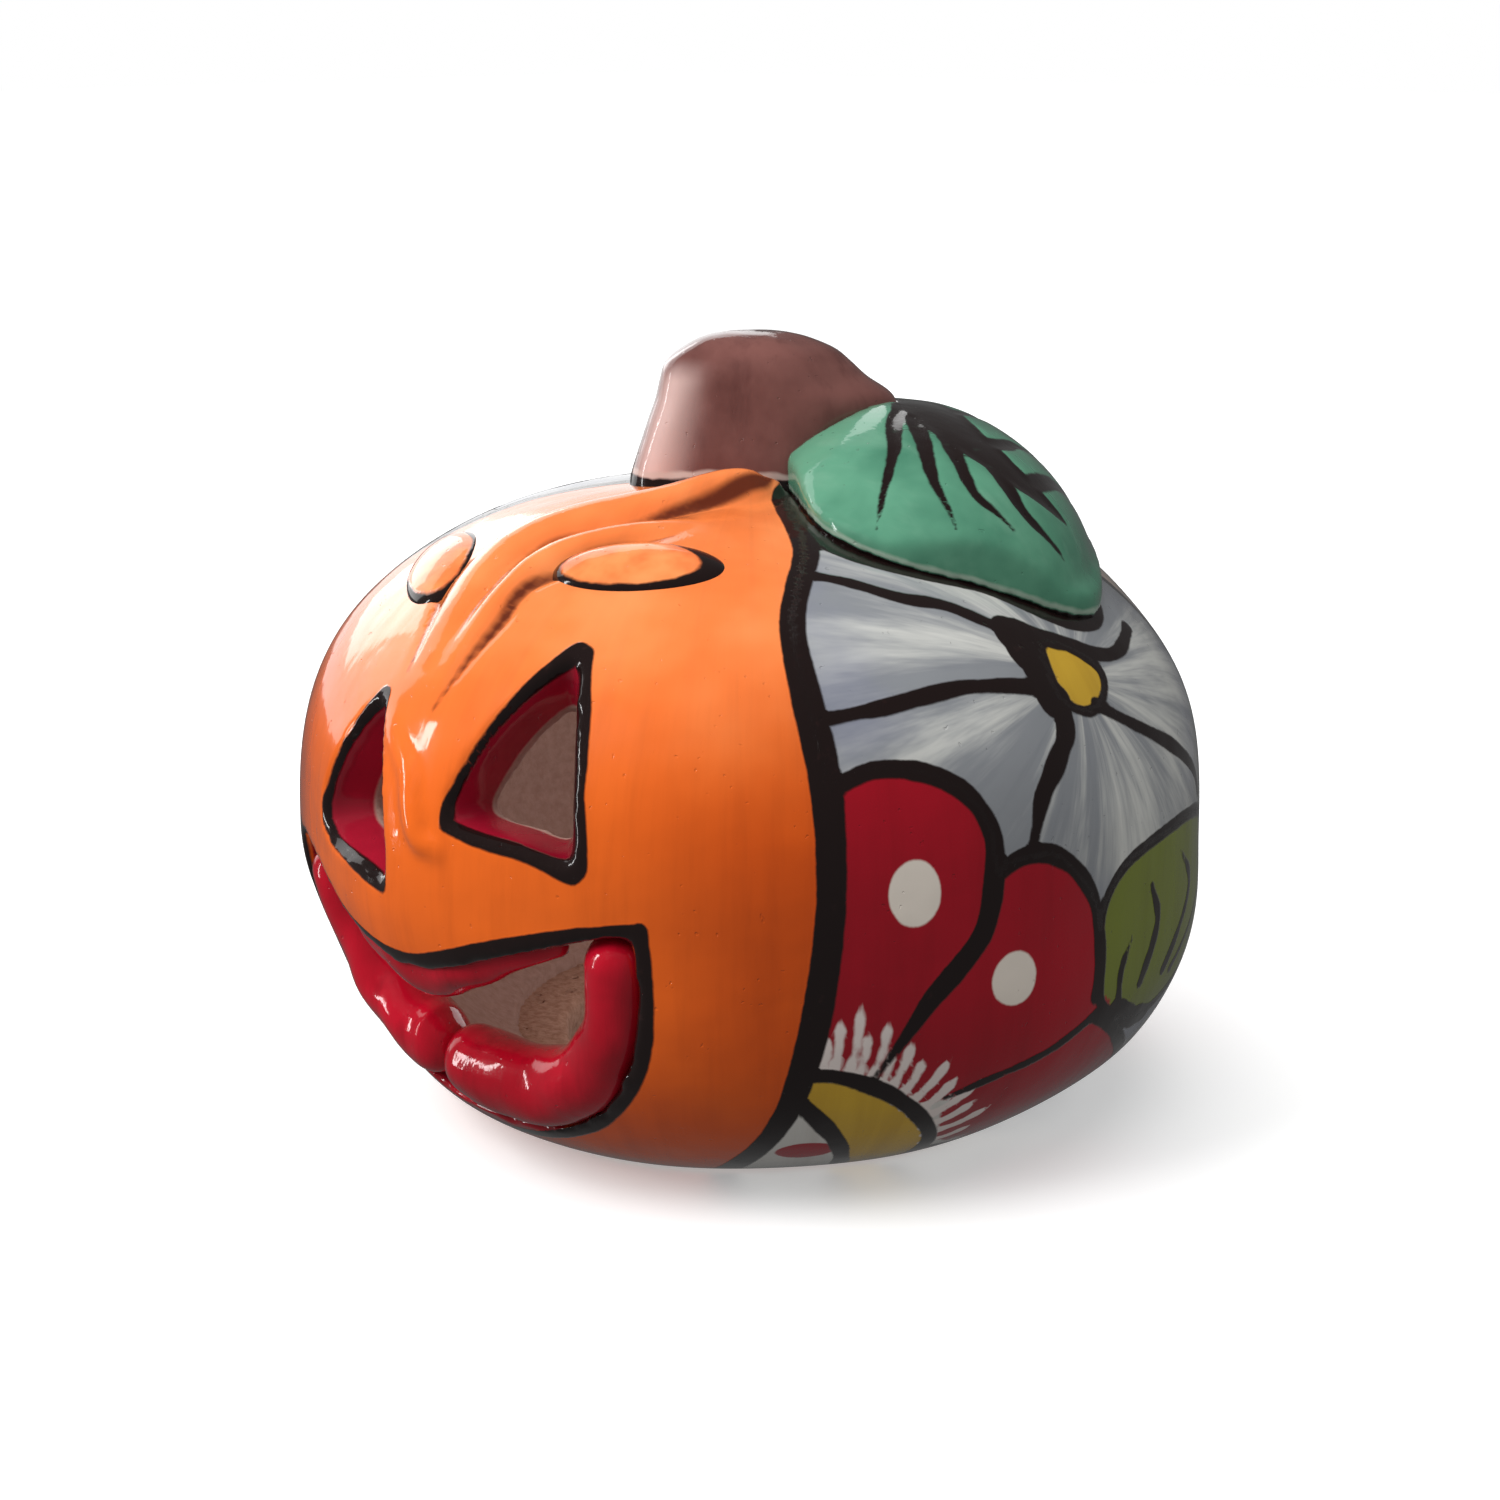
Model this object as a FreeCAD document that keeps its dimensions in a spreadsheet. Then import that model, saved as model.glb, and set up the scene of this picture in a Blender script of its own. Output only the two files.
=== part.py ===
import FreeCAD, Part
import math
import os

from FreeCAD import Placement, Rotation, Vector

# Hand-built ceramic pumpkin figure with a carved face.
# Millimetres. Z is up and the face looks along -Y. The origin is the centre of
# the underside, on the surface that the figure stands on.

os.makedirs("parts", exist_ok=True)
doc = FreeCAD.newDocument("ceramic_pumpkin")

# ---------------------------------------------------------------- dimensions

DIMENSIONS = (
    ("body_radius", 70.5, "widest radius of the hollow body"),
    ("equator_height", 46.5, "height of the widest ring"),
    ("crown_rise", 49.7, "from the equator up to the crown"),
    ("crown_power", 2.4, "squareness of the upper half"),
    ("base_drop", 51.3, "depth of the lower half before the base cuts it flat"),
    ("base_power", 2.77, "squareness of the lower half"),
    ("wall", 9.0, "thickness of the pressed clay wall"),
    ("slab_radius", 42.0, "luted base slab"),
    ("slab_thickness", 7.0, "luted base slab"),
    ("hole_radius", 30.0, "hand hole through the base slab"),
    ("eye_depth", 14.0, "reach of an eye's cutter on each side of the surface"),
    ("eye_taper", 0.32, "outline of an eye at that depth over its outline at the surface"),
    ("lip_side_radius", 4.8, "rolled lip at the corners of the mouth"),
    ("lip_bottom_radius", 5.8, "rolled lip under the mouth"),
    ("lip_depth", 4.8, "centre of the lip below the outer surface"),
    ("lip_seat", 3.9, "from the centre of the lip out to the side wall of the mouth"),
    ("brow_length", 27.0, "pad over an eye"),
    ("brow_width", 13.0, "pad over an eye"),
    ("brow_rise", 2.4, "pad above the body"),
    ("stem_top", 118.4, "height of the stem over the table"),
    ("stem_foot_height", 90.0, "hidden lower end of the stem, inside the crown"),
    ("stem_foot_radius", 20.5, "flared foot of the stem"),
    ("stem_setback", 5.0, "axis of the stem behind the axis of the body"),
    ("leaf_length", 30.0, "half length of the domed leaf"),
    ("leaf_breadth", 43.0, "half breadth of the domed leaf"),
    ("leaf_rise", 30.5, "half height of the dome that the leaf is cut from"),
    ("leaf_centre_height", 78.0, "centre of that dome"),
    ("leaf_edge", 3.0, "thickness of the leaf where it is thinnest"),
)

sheet = doc.addObject("Spreadsheet::Sheet", "dims")
for row, (alias, value, note) in enumerate(DIMENSIONS, start=1):
    sheet.set(f"A{row}", alias)
    sheet.set(f"B{row}", str(value))
    sheet.setAlias(f"B{row}", alias)
    sheet.set(f"C{row}", note)
doc.recompute()


def dim(alias):
    """A driving dimension, read back from the sheet."""
    return float(getattr(sheet, alias))


BODY_RADIUS = dim("body_radius")
EQUATOR = dim("equator_height")
WALL = dim("wall")

# ------------------------------------------------------------- body surface


def half_shape(height):
    """Half height and power of the superellipse on this side of the equator."""
    if height >= EQUATOR:
        return dim("crown_rise"), dim("crown_power")
    return dim("base_drop"), dim("base_power")


def radius_at(height, inset=0.0):
    """Radius of the body at a height, or of its surface shrunk by an inset."""
    half, power = half_shape(height)
    reach = min(abs(height - EQUATOR) / (half - inset), 1.0)
    return (BODY_RADIUS - inset) * (1.0 - reach ** power) ** (1.0 / power)


def outward_at(longitude, height):
    """Unit normal of the body surface. Longitude 0 is the middle of the face."""
    half, power = half_shape(height)
    across = (radius_at(height) / BODY_RADIUS) ** (power - 1.0) / BODY_RADIUS
    rise = (abs(height - EQUATOR) / half) ** (power - 1.0) / half
    angle = math.radians(longitude)
    up = math.copysign(rise, height - EQUATOR)
    normal = Vector(across * math.sin(angle), -across * math.cos(angle), up)
    return normal.normalize()


def surface_point(longitude, height, depth=0.0):
    """Point on the body, moved inwards along the normal by a depth."""
    angle = math.radians(longitude)
    radius = radius_at(height)
    point = Vector(radius * math.sin(angle), -radius * math.cos(angle), height)
    return point - outward_at(longitude, height) * depth


def profile_points(inset, lowest, count=14):
    """Points of the half profile, from the lowest height up to the crown."""
    points = []
    for step in range(count + 1):
        turn = -90.0 + 180.0 * step / count
        half, power = half_shape(EQUATOR + turn)
        reach = abs(math.sin(math.radians(turn))) ** (2.0 / power) * (half - inset)
        height = EQUATOR + math.copysign(reach, turn)
        if height > lowest + 2.0 and step < count:
            points.append(Vector(radius_at(height, inset), 0, height))
    first = Vector(radius_at(lowest, inset), 0, lowest)
    top = Vector(0, 0, EQUATOR + dim("crown_rise") - inset)
    return [first] + points + [top]


def profile_face(inset, lowest):
    """Half section of the body, closed along the axis and across the bottom."""
    points = profile_points(inset, lowest)
    curve = Part.BSplineCurve()
    curve.interpolate(points)
    bottom = Vector(0, 0, lowest)
    edges = [
        Part.makeLine(bottom, points[0]),
        curve.toShape(),
        Part.makeLine(points[-1], bottom),
    ]
    return Part.Face(Part.Wire(edges))


# ---------------------------------------------------------- document helpers


def add_feature(name, shape):
    feature = doc.addObject("Part::Feature", name)
    feature.Shape = shape
    feature.Placement = Placement()
    return feature


def add_primitive(kind, name, placement, **expressions):
    feature = doc.addObject(kind, name)
    for prop, expression in expressions.items():
        feature.setExpression(prop, expression)
    feature.Placement = placement
    return feature


def cut(name, base, tool):
    feature = doc.addObject("Part::Cut", name)
    feature.Base = base
    feature.Tool = tool
    return feature


def common(name, base, tool):
    feature = doc.addObject("Part::Common", name)
    feature.Base = base
    feature.Tool = tool
    return feature


def cut_all(name, base, tools):
    """Cut several tools in turn. The last step carries the given name."""
    for index, tool in enumerate(tools[:-1], start=1):
        base = cut(f"{name}_step_{index}", base, tool)
    return cut(name, base, tools[-1])


def revolve(name, face):
    profile = add_feature(f"{name}_profile", face)
    feature = doc.addObject("Part::Revolution", name)
    feature.Source = profile
    feature.Axis = Vector(0, 0, 1)
    feature.Base = Vector(0, 0, 0)
    feature.Angle = 360
    feature.Solid = True
    return feature


def tapered_coil(centres, radii, first_direction=None):
    """Rolled clay coil: a loft through circles square to the path."""
    rings = []
    last = len(centres) - 1
    for index, (centre, radius) in enumerate(zip(centres, radii)):
        ahead = centres[min(index + 1, last)] - centres[max(index - 1, 0)]
        if index == 0 and first_direction is not None:
            ahead = first_direction
        circle = Part.Circle(centre, ahead, radius)
        rings.append(Part.Wire([circle.toShape()]))
    return Part.makeLoft(rings, True)


def smooth_wire(points):
    """Closed smooth curve through points."""
    curve = Part.BSplineCurve()
    curve.interpolate(points, PeriodicFlag=True)
    return Part.Wire([curve.toShape()])


# ------------------------------------------------------------- hollow body

outer_form = revolve("outer_form", profile_face(0.0, 0.0))
cavity_form = revolve("cavity_form", profile_face(WALL, dim("slab_thickness")))
hollow_form = cut("hollow_form", outer_form, cavity_form)

slab_seat = add_primitive(
    "Part::Cylinder", "slab_seat", Placement(Vector(0, 0, 0), Rotation()),
    Radius="dims.slab_radius", Height="dims.slab_thickness",
)
hand_hole = add_primitive(
    "Part::Cylinder", "hand_hole", Placement(Vector(0, 0, -1), Rotation()),
    Radius="dims.hole_radius", Height="dims.slab_thickness + 2",
)
body_form = cut("body_form", hollow_form, slab_seat)

# The body is pressed in two moulds, so it parts in the plane y = 0.
half_space_front = add_primitive(
    "Part::Box", "half_space_front", Placement(Vector(-100, -200, -10), Rotation()),
    Length="200", Width="200", Height="200",
)
half_space_rear = add_primitive(
    "Part::Box", "half_space_rear", Placement(Vector(-100, 0, -10), Rotation()),
    Length="200", Width="200", Height="200",
)
front_blank = common("front_blank", body_form, half_space_front)
rear_shell = common("rear_shell", body_form, half_space_rear)
base_slab = cut("base_slab", slab_seat, hand_hole)

# ------------------------------------------------------------------- eyes


def eye_cutter(name, outline):
    """Plug for an eye: straight outside the body, narrowing through the wall."""
    count = len(outline)
    middle_longitude = sum(point[0] for point in outline) / count
    middle_height = sum(point[1] for point in outline) / count
    outward = outward_at(middle_longitude, middle_height)
    rim = [surface_point(longitude, height) for longitude, height in outline]
    centre = sum(rim, Vector()) * (1.0 / count)
    depth = dim("eye_depth")
    outlines = []
    for offset, scale in ((depth, 1.0), (0.0, 1.0), (-depth, dim("eye_taper"))):
        points = [centre + (point - centre) * scale + outward * offset for point in rim]
        outlines.append(Part.makePolygon(points + points[:1]))
    return add_feature(name, Part.makeLoft(outlines, True, True))


# Each eye has a bowed long side, a straight side and a flat bottom. Outlines
# are given as (longitude, height).
EYE_LEFT = (
    (5.6, 57.8), (5.4, 60.6), (6.7, 64.5), (9.2, 71.0), (13.2, 77.2), (18.0, 81.4),
    (21.7, 68.8), (22.8, 54.9), (15.3, 56.9), (9.4, 57.5),
)
EYE_RIGHT = (
    (-11.6, 71.8), (-14.4, 69.0), (-17.2, 64.0), (-19.7, 58.5), (-21.6, 53.5), (-21.2, 50.6),
    (-18.2, 48.8), (-9.8, 47.9), (-4.4, 46.3), (-4.4, 52.7), (-7.2, 63.0),
)
eye_left_cutter = eye_cutter("eye_left_cutter", EYE_LEFT)
eye_right_cutter = eye_cutter("eye_right_cutter", EYE_RIGHT)

# ------------------------------------------------------------------ mouth

# Paths of the two rolled lips, from the cleft between them to the corners of
# the mouth, as (longitude, height, share of the way from side to bottom radius).
LIP_LEFT_PATH = (
    (-8.6, 14.6, 0.4),
    (-2.0, 13.6, 0.8),
    (5.0, 13.4, 1.0),
    (13.5, 14.4, 1.0),
    (20.8, 19.4, 0.7),
    (25.6, 28.0, 0.3),
    (27.0, 37.5, 0.0),
    (26.6, 45.0, 0.0),
)
LIP_RIGHT_PATH = (
    (-8.6, 14.6, 0.4),
    (-13.0, 14.3, 0.5),
    (-18.5, 16.0, 0.4),
    (-24.5, 20.5, 0.2),
    (-29.5, 28.5, 0.0),
    (-31.5, 36.5, 0.0),
    (-31.5, 42.5, 0.0),
)
MOUTH_TOP = (
    (29.8, 45.8), (21.5, 43.2), (15.0, 40.6), (8.0, 37.6), (1.0, 34.8), (-5.0, 34.2),
    (-11.0, 35.6), (-16.5, 37.8), (-22.0, 41.2), (-28.0, 43.6), (-34.5, 44.6),
)

# Coil under the upper edge of the mouth, thickest near the middle, as
# (longitude, height, radius).
UPPER_LIP_PATH = (
    (20.5, 42.2, 1.4), (12.5, 39.0, 2.4), (5.5, 36.0, 3.6), (-1.0, 33.6, 4.6),
    (-8.0, 33.4, 4.4), (-15.0, 35.8, 3.4), (-22.0, 39.6, 2.2),
)


def lip_points(path, depth):
    return [surface_point(longitude, height, depth) for longitude, height, share in path]


def lip_shape(path):
    """Rolled lip along a path, square to it at the cleft."""
    spread = dim("lip_bottom_radius") - dim("lip_side_radius")
    radii = [dim("lip_side_radius") + spread * share for longitude, height, share in path]
    centres = lip_points(path, dim("lip_depth"))
    cleft = math.radians(path[0][0])
    along = Vector(math.cos(cleft), math.sin(cleft), 0)
    return tapered_coil(centres, radii, along if path[1][0] > path[0][0] else along * -1)


def lip_seat_line(path):
    """Line on the surface just inside the outer side of the lip."""
    line = lip_points(path, 0.0)
    last = len(line) - 1
    side = 1.0 if path[-1][0] > path[0][0] else -1.0
    seat = []
    for index, (longitude, height, share) in enumerate(path):
        ahead = line[min(index + 1, last)] - line[max(index - 1, 0)]
        sideways = ahead.cross(outward_at(longitude, height)).normalize() * side
        seat.append(line[index] + sideways * dim("lip_seat"))
    return seat


def mouth_cutter_shape():
    """Plug through the wall that leaves a seat for each lip."""
    outline = [surface_point(longitude, height) for longitude, height in MOUTH_TOP]
    outline += lip_seat_line(LIP_RIGHT_PATH)[-2:0:-1]
    outline += lip_seat_line(LIP_LEFT_PATH)[1:-1]
    wires = []
    for offset in (WALL, -2.0 * WALL):
        points = []
        for point in outline:
            radial = Vector(point.x, point.y, 0).normalize()
            points.append(point + radial * offset)
        wires.append(Part.makePolygon(points + points[:1]))
    return Part.makeLoft(wires, True, True)


lip_left = add_feature("lip_left", lip_shape(LIP_LEFT_PATH))
lip_right = add_feature("lip_right", lip_shape(LIP_RIGHT_PATH))
mouth_cutter = add_feature("mouth_cutter", mouth_cutter_shape())
front_shell = cut_all(
    "front_shell", front_blank,
    [eye_left_cutter, eye_right_cutter, mouth_cutter, lip_left, lip_right],
)

upper_lip_coil = add_feature(
    "upper_lip_coil",
    tapered_coil(
        [surface_point(lon, height, dim("lip_depth")) for lon, height, radius in UPPER_LIP_PATH],
        [radius for lon, height, radius in UPPER_LIP_PATH],
    ),
)
upper_lip = cut_all("upper_lip", upper_lip_coil, [front_shell, lip_left, lip_right])

# ------------------------------------------------- stem, leaf and crown folds

STEM_LEAN = 43.0        # longitude that the stem's broad face looks towards
STEM_SECTIONS = (
    # share of the height above the foot, half breadth, half depth, shift along the breadth
    (0.00, 1.04, 0.70, 0.8),
    (0.24, 1.01, 0.68, 1.4),
    (0.49, 0.95, 0.62, 2.6),
    (0.65, 0.90, 0.57, 3.3),
    (0.76, 0.78, 0.52, 1.7),
    (0.84, 0.70, 0.47, 0.9),
    (0.91, 0.58, 0.40, 0.9),
    (0.97, 0.40, 0.28, 0.6),
    (1.00, 0.22, 0.15, 0.9),
)
STEM_LOBES = 5


def stem_shape():
    """Squat stub with shallow flutes and a flared foot."""
    foot = dim("stem_foot_radius")
    across = Vector(math.cos(math.radians(STEM_LEAN)), math.sin(math.radians(STEM_LEAN)), 0)
    along = Vector(-across.y, across.x, 0)
    low = dim("stem_foot_height")
    wires = []
    for share, breadth, depth, shift in STEM_SECTIONS:
        level = low + (dim("stem_top") - low) * share
        points = []
        for step in range(30):
            turn = 2.0 * math.pi * step / 30
            flute = 1.0 + 0.035 * math.cos(STEM_LOBES * turn)
            point = across * (foot * breadth * flute * math.cos(turn) + shift)
            point += along * (foot * depth * flute * math.sin(turn) + dim("stem_setback"))
            points.append(point + Vector(0, 0, level))
        wires.append(smooth_wire(points))
    return Part.makeLoft(wires, True)


stem_form = add_feature("stem_form", stem_shape())

# The leaf is a thick dome of clay laid over the shoulder behind the stem.
# Its outline is given in plan as (longitude, distance from the axis).
LEAF_TURN = 58.0
LEAF_CENTRE = (22.5, 133.0)     # distance from the axis, and longitude
LEAF_OUTLINE = (
    (72.0, 12.0), (63.5, 23.0), (64.0, 31.5), (69.0, 38.0), (77.0, 43.5), (87.0, 49.0), (94.0, 53.5),
    (100.5, 56.6), (106.0, 57.2), (113.0, 55.8), (122.0, 53.8), (134.0, 52.8), (148.0, 53.6),
    (165.0, 53.0), (180.0, 49.0), (194.0, 40.0), (204.0, 27.0), (214.0, 12.0),
)


def leaf_prism_shape():
    points = []
    for longitude, reach in LEAF_OUTLINE:
        angle = math.radians(longitude)
        points.append(Vector(reach * math.sin(angle), -reach * math.cos(angle), 60))
    return Part.Face(smooth_wire(points)).extrude(Vector(0, 0, 80))


bearing = math.radians(LEAF_CENTRE[1])
leaf_middle = Vector(math.sin(bearing), -math.cos(bearing), 0) * LEAF_CENTRE[0]
leaf_middle += Vector(0, 0, dim("leaf_centre_height"))
leaf_dome = add_primitive(
    "Part::Ellipsoid", "leaf_dome",
    Placement(leaf_middle, Rotation(Vector(0, 0, 1), LEAF_TURN)),
    Radius1="dims.leaf_rise", Radius2="dims.leaf_length", Radius3="dims.leaf_breadth",
    Angle1="-90", Angle2="90", Angle3="360",
)
leaf_prism = add_feature("leaf_prism", leaf_prism_shape())
leaf_skin = revolve("leaf_skin", profile_face(-dim("leaf_edge"), 40.0))
leaf_body = doc.addObject("Part::Fuse", "leaf_body")
leaf_body.Base = leaf_dome
leaf_body.Tool = leaf_skin
leaf_blank = common("leaf_blank", leaf_body, leaf_prism)
stem = cut("stem", stem_form, outer_form)
leaf = cut_all("leaf", leaf_blank, [outer_form, stem_form])

# Folds of clay that sweep from the foot of the stem down between the eyes, as
# (longitude, height, radius, rise above the body) along each coil.
FOLD_UPPER = (
    (56.0, 95.92, 2.4, 3.0), (44.0, 95.9, 3.4, 4.2), (32.0, 95.85, 3.8, 4.4), (18.0, 95.65, 4.0, 4.0),
    (6.0, 95.2, 4.2, 3.2), (-4.0, 94.5, 4.3, 2.7), (-12.0, 93.0, 4.4, 2.3), (-14.5, 90.8, 4.3, 2.1),
    (-12.5, 88.0, 4.1, 1.9), (-9.5, 85.0, 3.7, 1.7), (-7.5, 81.5, 3.2, 1.4), (-6.0, 76.0, 2.4, 1.0),
)
FOLD_LOWER = (
    (22.0, 94.5, 2.0, 1.2), (9.0, 93.1, 2.8, 1.6), (0.5, 91.3, 3.1, 1.8), (-2.0, 88.8, 3.1, 1.8),
    (-1.6, 86.0, 3.0, 1.7), (-1.0, 82.5, 2.8, 1.5), (-1.0, 76.0, 2.2, 1.0),
)


def fold_shape(path):
    """Coil part sunk in the body, so that it stands out by its rise."""
    centres = []
    radii = []
    for longitude, height, radius, rise in path:
        centres.append(surface_point(longitude, height, radius - rise))
        radii.append(radius)
    return tapered_coil(centres, radii)


fold_upper_coil = add_feature("fold_upper_coil", fold_shape(FOLD_UPPER))
fold_lower_coil = add_feature("fold_lower_coil", fold_shape(FOLD_LOWER))
forehead_fold_upper = cut_all("forehead_fold_upper", fold_upper_coil, [outer_form, stem_form, leaf_prism])
forehead_fold_lower = cut_all("forehead_fold_lower", fold_lower_coil, [outer_form, fold_upper_coil])

# ------------------------------------------------------------------ brows


def brow(name, inner_end, outer_end, neighbour):
    """Oval pad that lies on the body between two (longitude, height) ends."""
    start = surface_point(*inner_end)
    finish = surface_point(*outer_end)
    middle = ((inner_end[0] + outer_end[0]) / 2.0, (inner_end[1] + outer_end[1]) / 2.0)
    outward = outward_at(*middle)
    direction = (finish - start).normalize()
    placement = Placement(surface_point(*middle), Rotation(direction, Vector(), outward, "ZXY"))
    form = add_primitive(
        "Part::Ellipsoid", f"{name}_form", placement,
        Radius1="dims.brow_rise", Radius2="dims.brow_length / 2", Radius3="dims.brow_width / 2",
        Angle1="-90", Angle2="90", Angle3="360",
    )
    return cut_all(name, form, [outer_form, neighbour])


brow_left = brow("brow_left", (6.5, 89.7), (33.0, 90.6), fold_lower_coil)
brow_right = brow("brow_right", (-19.0, 84.3), (-41.0, 87.4), fold_upper_coil)

# ------------------------------------------------------------------ export

NODES = (
    front_shell, rear_shell, base_slab, lip_left, lip_right, upper_lip, stem, leaf,
    forehead_fold_upper, forehead_fold_lower, brow_left, brow_right,
)
for node in NODES:
    node.Label = node.Name
doc.recompute()

for item in doc.Objects:
    if "Invalid" in item.State or "Error" in item.State:
        raise RuntimeError(f"{item.Name} did not rebuild: {item.State}")

for node in NODES:
    if node.Shape.isNull() or not node.Shape.isValid() or not node.Shape.Solids:
        raise RuntimeError(f"{node.Label} has no valid solid")
    print(node.Label, "solids", len(node.Shape.Solids), "volume", round(node.Shape.Volume), node.Shape.BoundBox)
    node.Shape.exportStep(f"parts/{node.Label}.step")
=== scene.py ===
import math

import bmesh
import bpy
import numpy as np
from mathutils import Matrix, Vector


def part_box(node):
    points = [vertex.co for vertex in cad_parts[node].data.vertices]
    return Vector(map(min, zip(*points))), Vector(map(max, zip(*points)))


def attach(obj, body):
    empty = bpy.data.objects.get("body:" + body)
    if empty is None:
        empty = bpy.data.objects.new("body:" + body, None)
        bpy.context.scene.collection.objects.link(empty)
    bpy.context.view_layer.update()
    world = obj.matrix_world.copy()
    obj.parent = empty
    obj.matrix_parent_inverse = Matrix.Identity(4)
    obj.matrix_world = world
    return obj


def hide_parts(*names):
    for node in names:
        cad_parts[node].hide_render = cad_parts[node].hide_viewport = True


# Hand-painted ceramic pumpkin figure. Metres in Blender; the painting is laid
# out in millimetres on the body, as (longitude in degrees, height in mm).
# Longitude 0 is the middle of the face and grows towards the figure's left.

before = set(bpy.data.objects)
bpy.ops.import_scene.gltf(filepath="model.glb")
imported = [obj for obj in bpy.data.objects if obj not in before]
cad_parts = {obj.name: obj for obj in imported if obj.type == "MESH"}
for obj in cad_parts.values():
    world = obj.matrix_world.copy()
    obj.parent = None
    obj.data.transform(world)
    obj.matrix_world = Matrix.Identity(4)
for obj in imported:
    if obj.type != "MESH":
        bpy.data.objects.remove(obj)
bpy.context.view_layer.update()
MM = 0.001

# ------------------------------------------------------------ body surface

LOW, HIGH = (np.array(corner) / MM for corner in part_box("front_shell"))
BODY_RADIUS = (HIGH[0] - LOW[0]) / 2.0
CROWN = HIGH[2]
EQUATOR = 46.5
CROWN_RISE, CROWN_POWER = CROWN - EQUATOR, 2.4
BASE_DROP, BASE_POWER = 51.3, 2.77
WALL = 9.0


def profile_at(height):
    """Half height and power of the body's curve, above or below its widest level."""
    upper = height >= EQUATOR
    return np.where(upper, CROWN_RISE, BASE_DROP), np.where(upper, CROWN_POWER, BASE_POWER)


def radius_at(height):
    """Radius of the body at a height, both in mm. Works on arrays."""
    height = np.asarray(height, float)
    half, power = profile_at(height)
    reach = np.minimum(np.abs(height - EQUATOR) / half, 1.0)
    return BODY_RADIUS * (1.0 - reach ** power) ** (1.0 / power)


def on_body(longitude, height, lift=0.0):
    """Points in mm on the body, from longitude and height arrays."""
    angle = np.radians(np.asarray(longitude, float))
    height = np.asarray(height, float)
    radius = radius_at(height)
    points = np.stack((radius * np.sin(angle), -radius * np.cos(angle), height), axis=-1)
    return points + outward(points) * lift


def outward(points):
    """Unit normals of the body surface that passes nearest to points in mm."""
    if points.ndim == 1:
        return outward(points[None])[0]
    radius = np.maximum(np.hypot(points[:, 0], points[:, 1]), 1e-6)
    half, power = profile_at(points[:, 2])
    height = points[:, 2] - EQUATOR
    across = (radius / BODY_RADIUS) ** (power - 1.0) / BODY_RADIUS
    rise = np.sign(height) * (np.abs(height) / half) ** (power - 1.0) / half
    sideways = across[:, None] * points[:, :2] / radius[:, None]
    normal = np.column_stack((sideways, rise))
    return unit_rows(normal)


def depth_below(points):
    """Distance in mm from points down from the body surface, near the surface."""
    radius = np.hypot(points[:, 0], points[:, 1])
    half, power = profile_at(points[:, 2])
    height = points[:, 2] - EQUATOR
    level = (radius / BODY_RADIUS) ** power + (np.abs(height) / half) ** power
    size = level ** (1.0 / power)
    slope_r = (radius / BODY_RADIUS) ** (power - 1.0) / BODY_RADIUS
    slope_z = (np.abs(height) / half) ** (power - 1.0) / half
    slope = np.hypot(slope_r, slope_z) * size ** (1.0 - power)
    return (1.0 - size) / np.maximum(slope, 1e-6)


# ------------------------------------------------------------ curve helpers


def smooth_curve(points, closed=False, steps=10):
    """Catmull-Rom curve through given points, as an array of samples."""
    points = np.asarray(points, float)
    if closed:
        control = np.vstack((points[-1:], points, points[:2]))
    else:
        control = np.vstack((2 * points[:1] - points[1:2], points, 2 * points[-1:] - points[-2:-1]))
    t = np.linspace(0.0, 1.0, steps, endpoint=False)[:, None]
    pieces = []
    for a, b, c, d in zip(control, control[1:], control[2:], control[3:]):
        square = 2 * a - 5 * b + 4 * c - d
        cube = 3 * b - a - 3 * c + d
        pieces.append(0.5 * (2 * b + (c - a) * t + square * t ** 2 + cube * t ** 3))
    if not closed:
        pieces.append(points[-1:])
    return np.vstack(pieces)


def resampled(line, spacing):
    """The same line in even steps of about the spacing."""
    lengths = np.linalg.norm(np.diff(line, axis=0), axis=1)
    along = np.concatenate(([0.0], np.cumsum(lengths)))
    count = max(int(along[-1] / spacing), 2)
    marks = np.linspace(0.0, along[-1], count + 1)
    return np.stack([np.interp(marks, along, line[:, k]) for k in range(line.shape[1])], axis=-1)


def smoothstep(low, high, value):
    t = np.clip((value - low) / (high - low), 0.0, 1.0)
    return t * t * (3.0 - 2.0 * t)


def mirror(points):
    return [(-point[0],) + tuple(point[1:]) for point in points]


def full_turn(count):
    """Even angles in radians round a circle."""
    return np.linspace(0.0, 2.0 * math.pi, count, endpoint=False)


def unit_rows(vectors):
    return vectors / np.linalg.norm(vectors, axis=1, keepdims=True)


# ------------------------------------------------------------------ painting


def srgb(red, green, blue):
    """Linear colour from display values of 0 to 255."""
    values = np.array((red, green, blue)) / 255.0
    linear = np.where(values <= 0.04045, values / 12.92, ((values + 0.055) / 1.055) ** 2.4)
    return tuple(float(value) for value in linear)


ORANGE = srgb(238, 106, 30)
INK = srgb(26, 15, 14)
RED = srgb(158, 10, 30)
PETAL_GREY = srgb(134, 137, 141)
GROUND_WHITE = srgb(214, 212, 206)
YELLOW = srgb(205, 165, 50)
OLIVE = srgb(112, 122, 42)
BEIGE = srgb(206, 182, 166)
DOT_WHITE = srgb(222, 212, 200)


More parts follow.
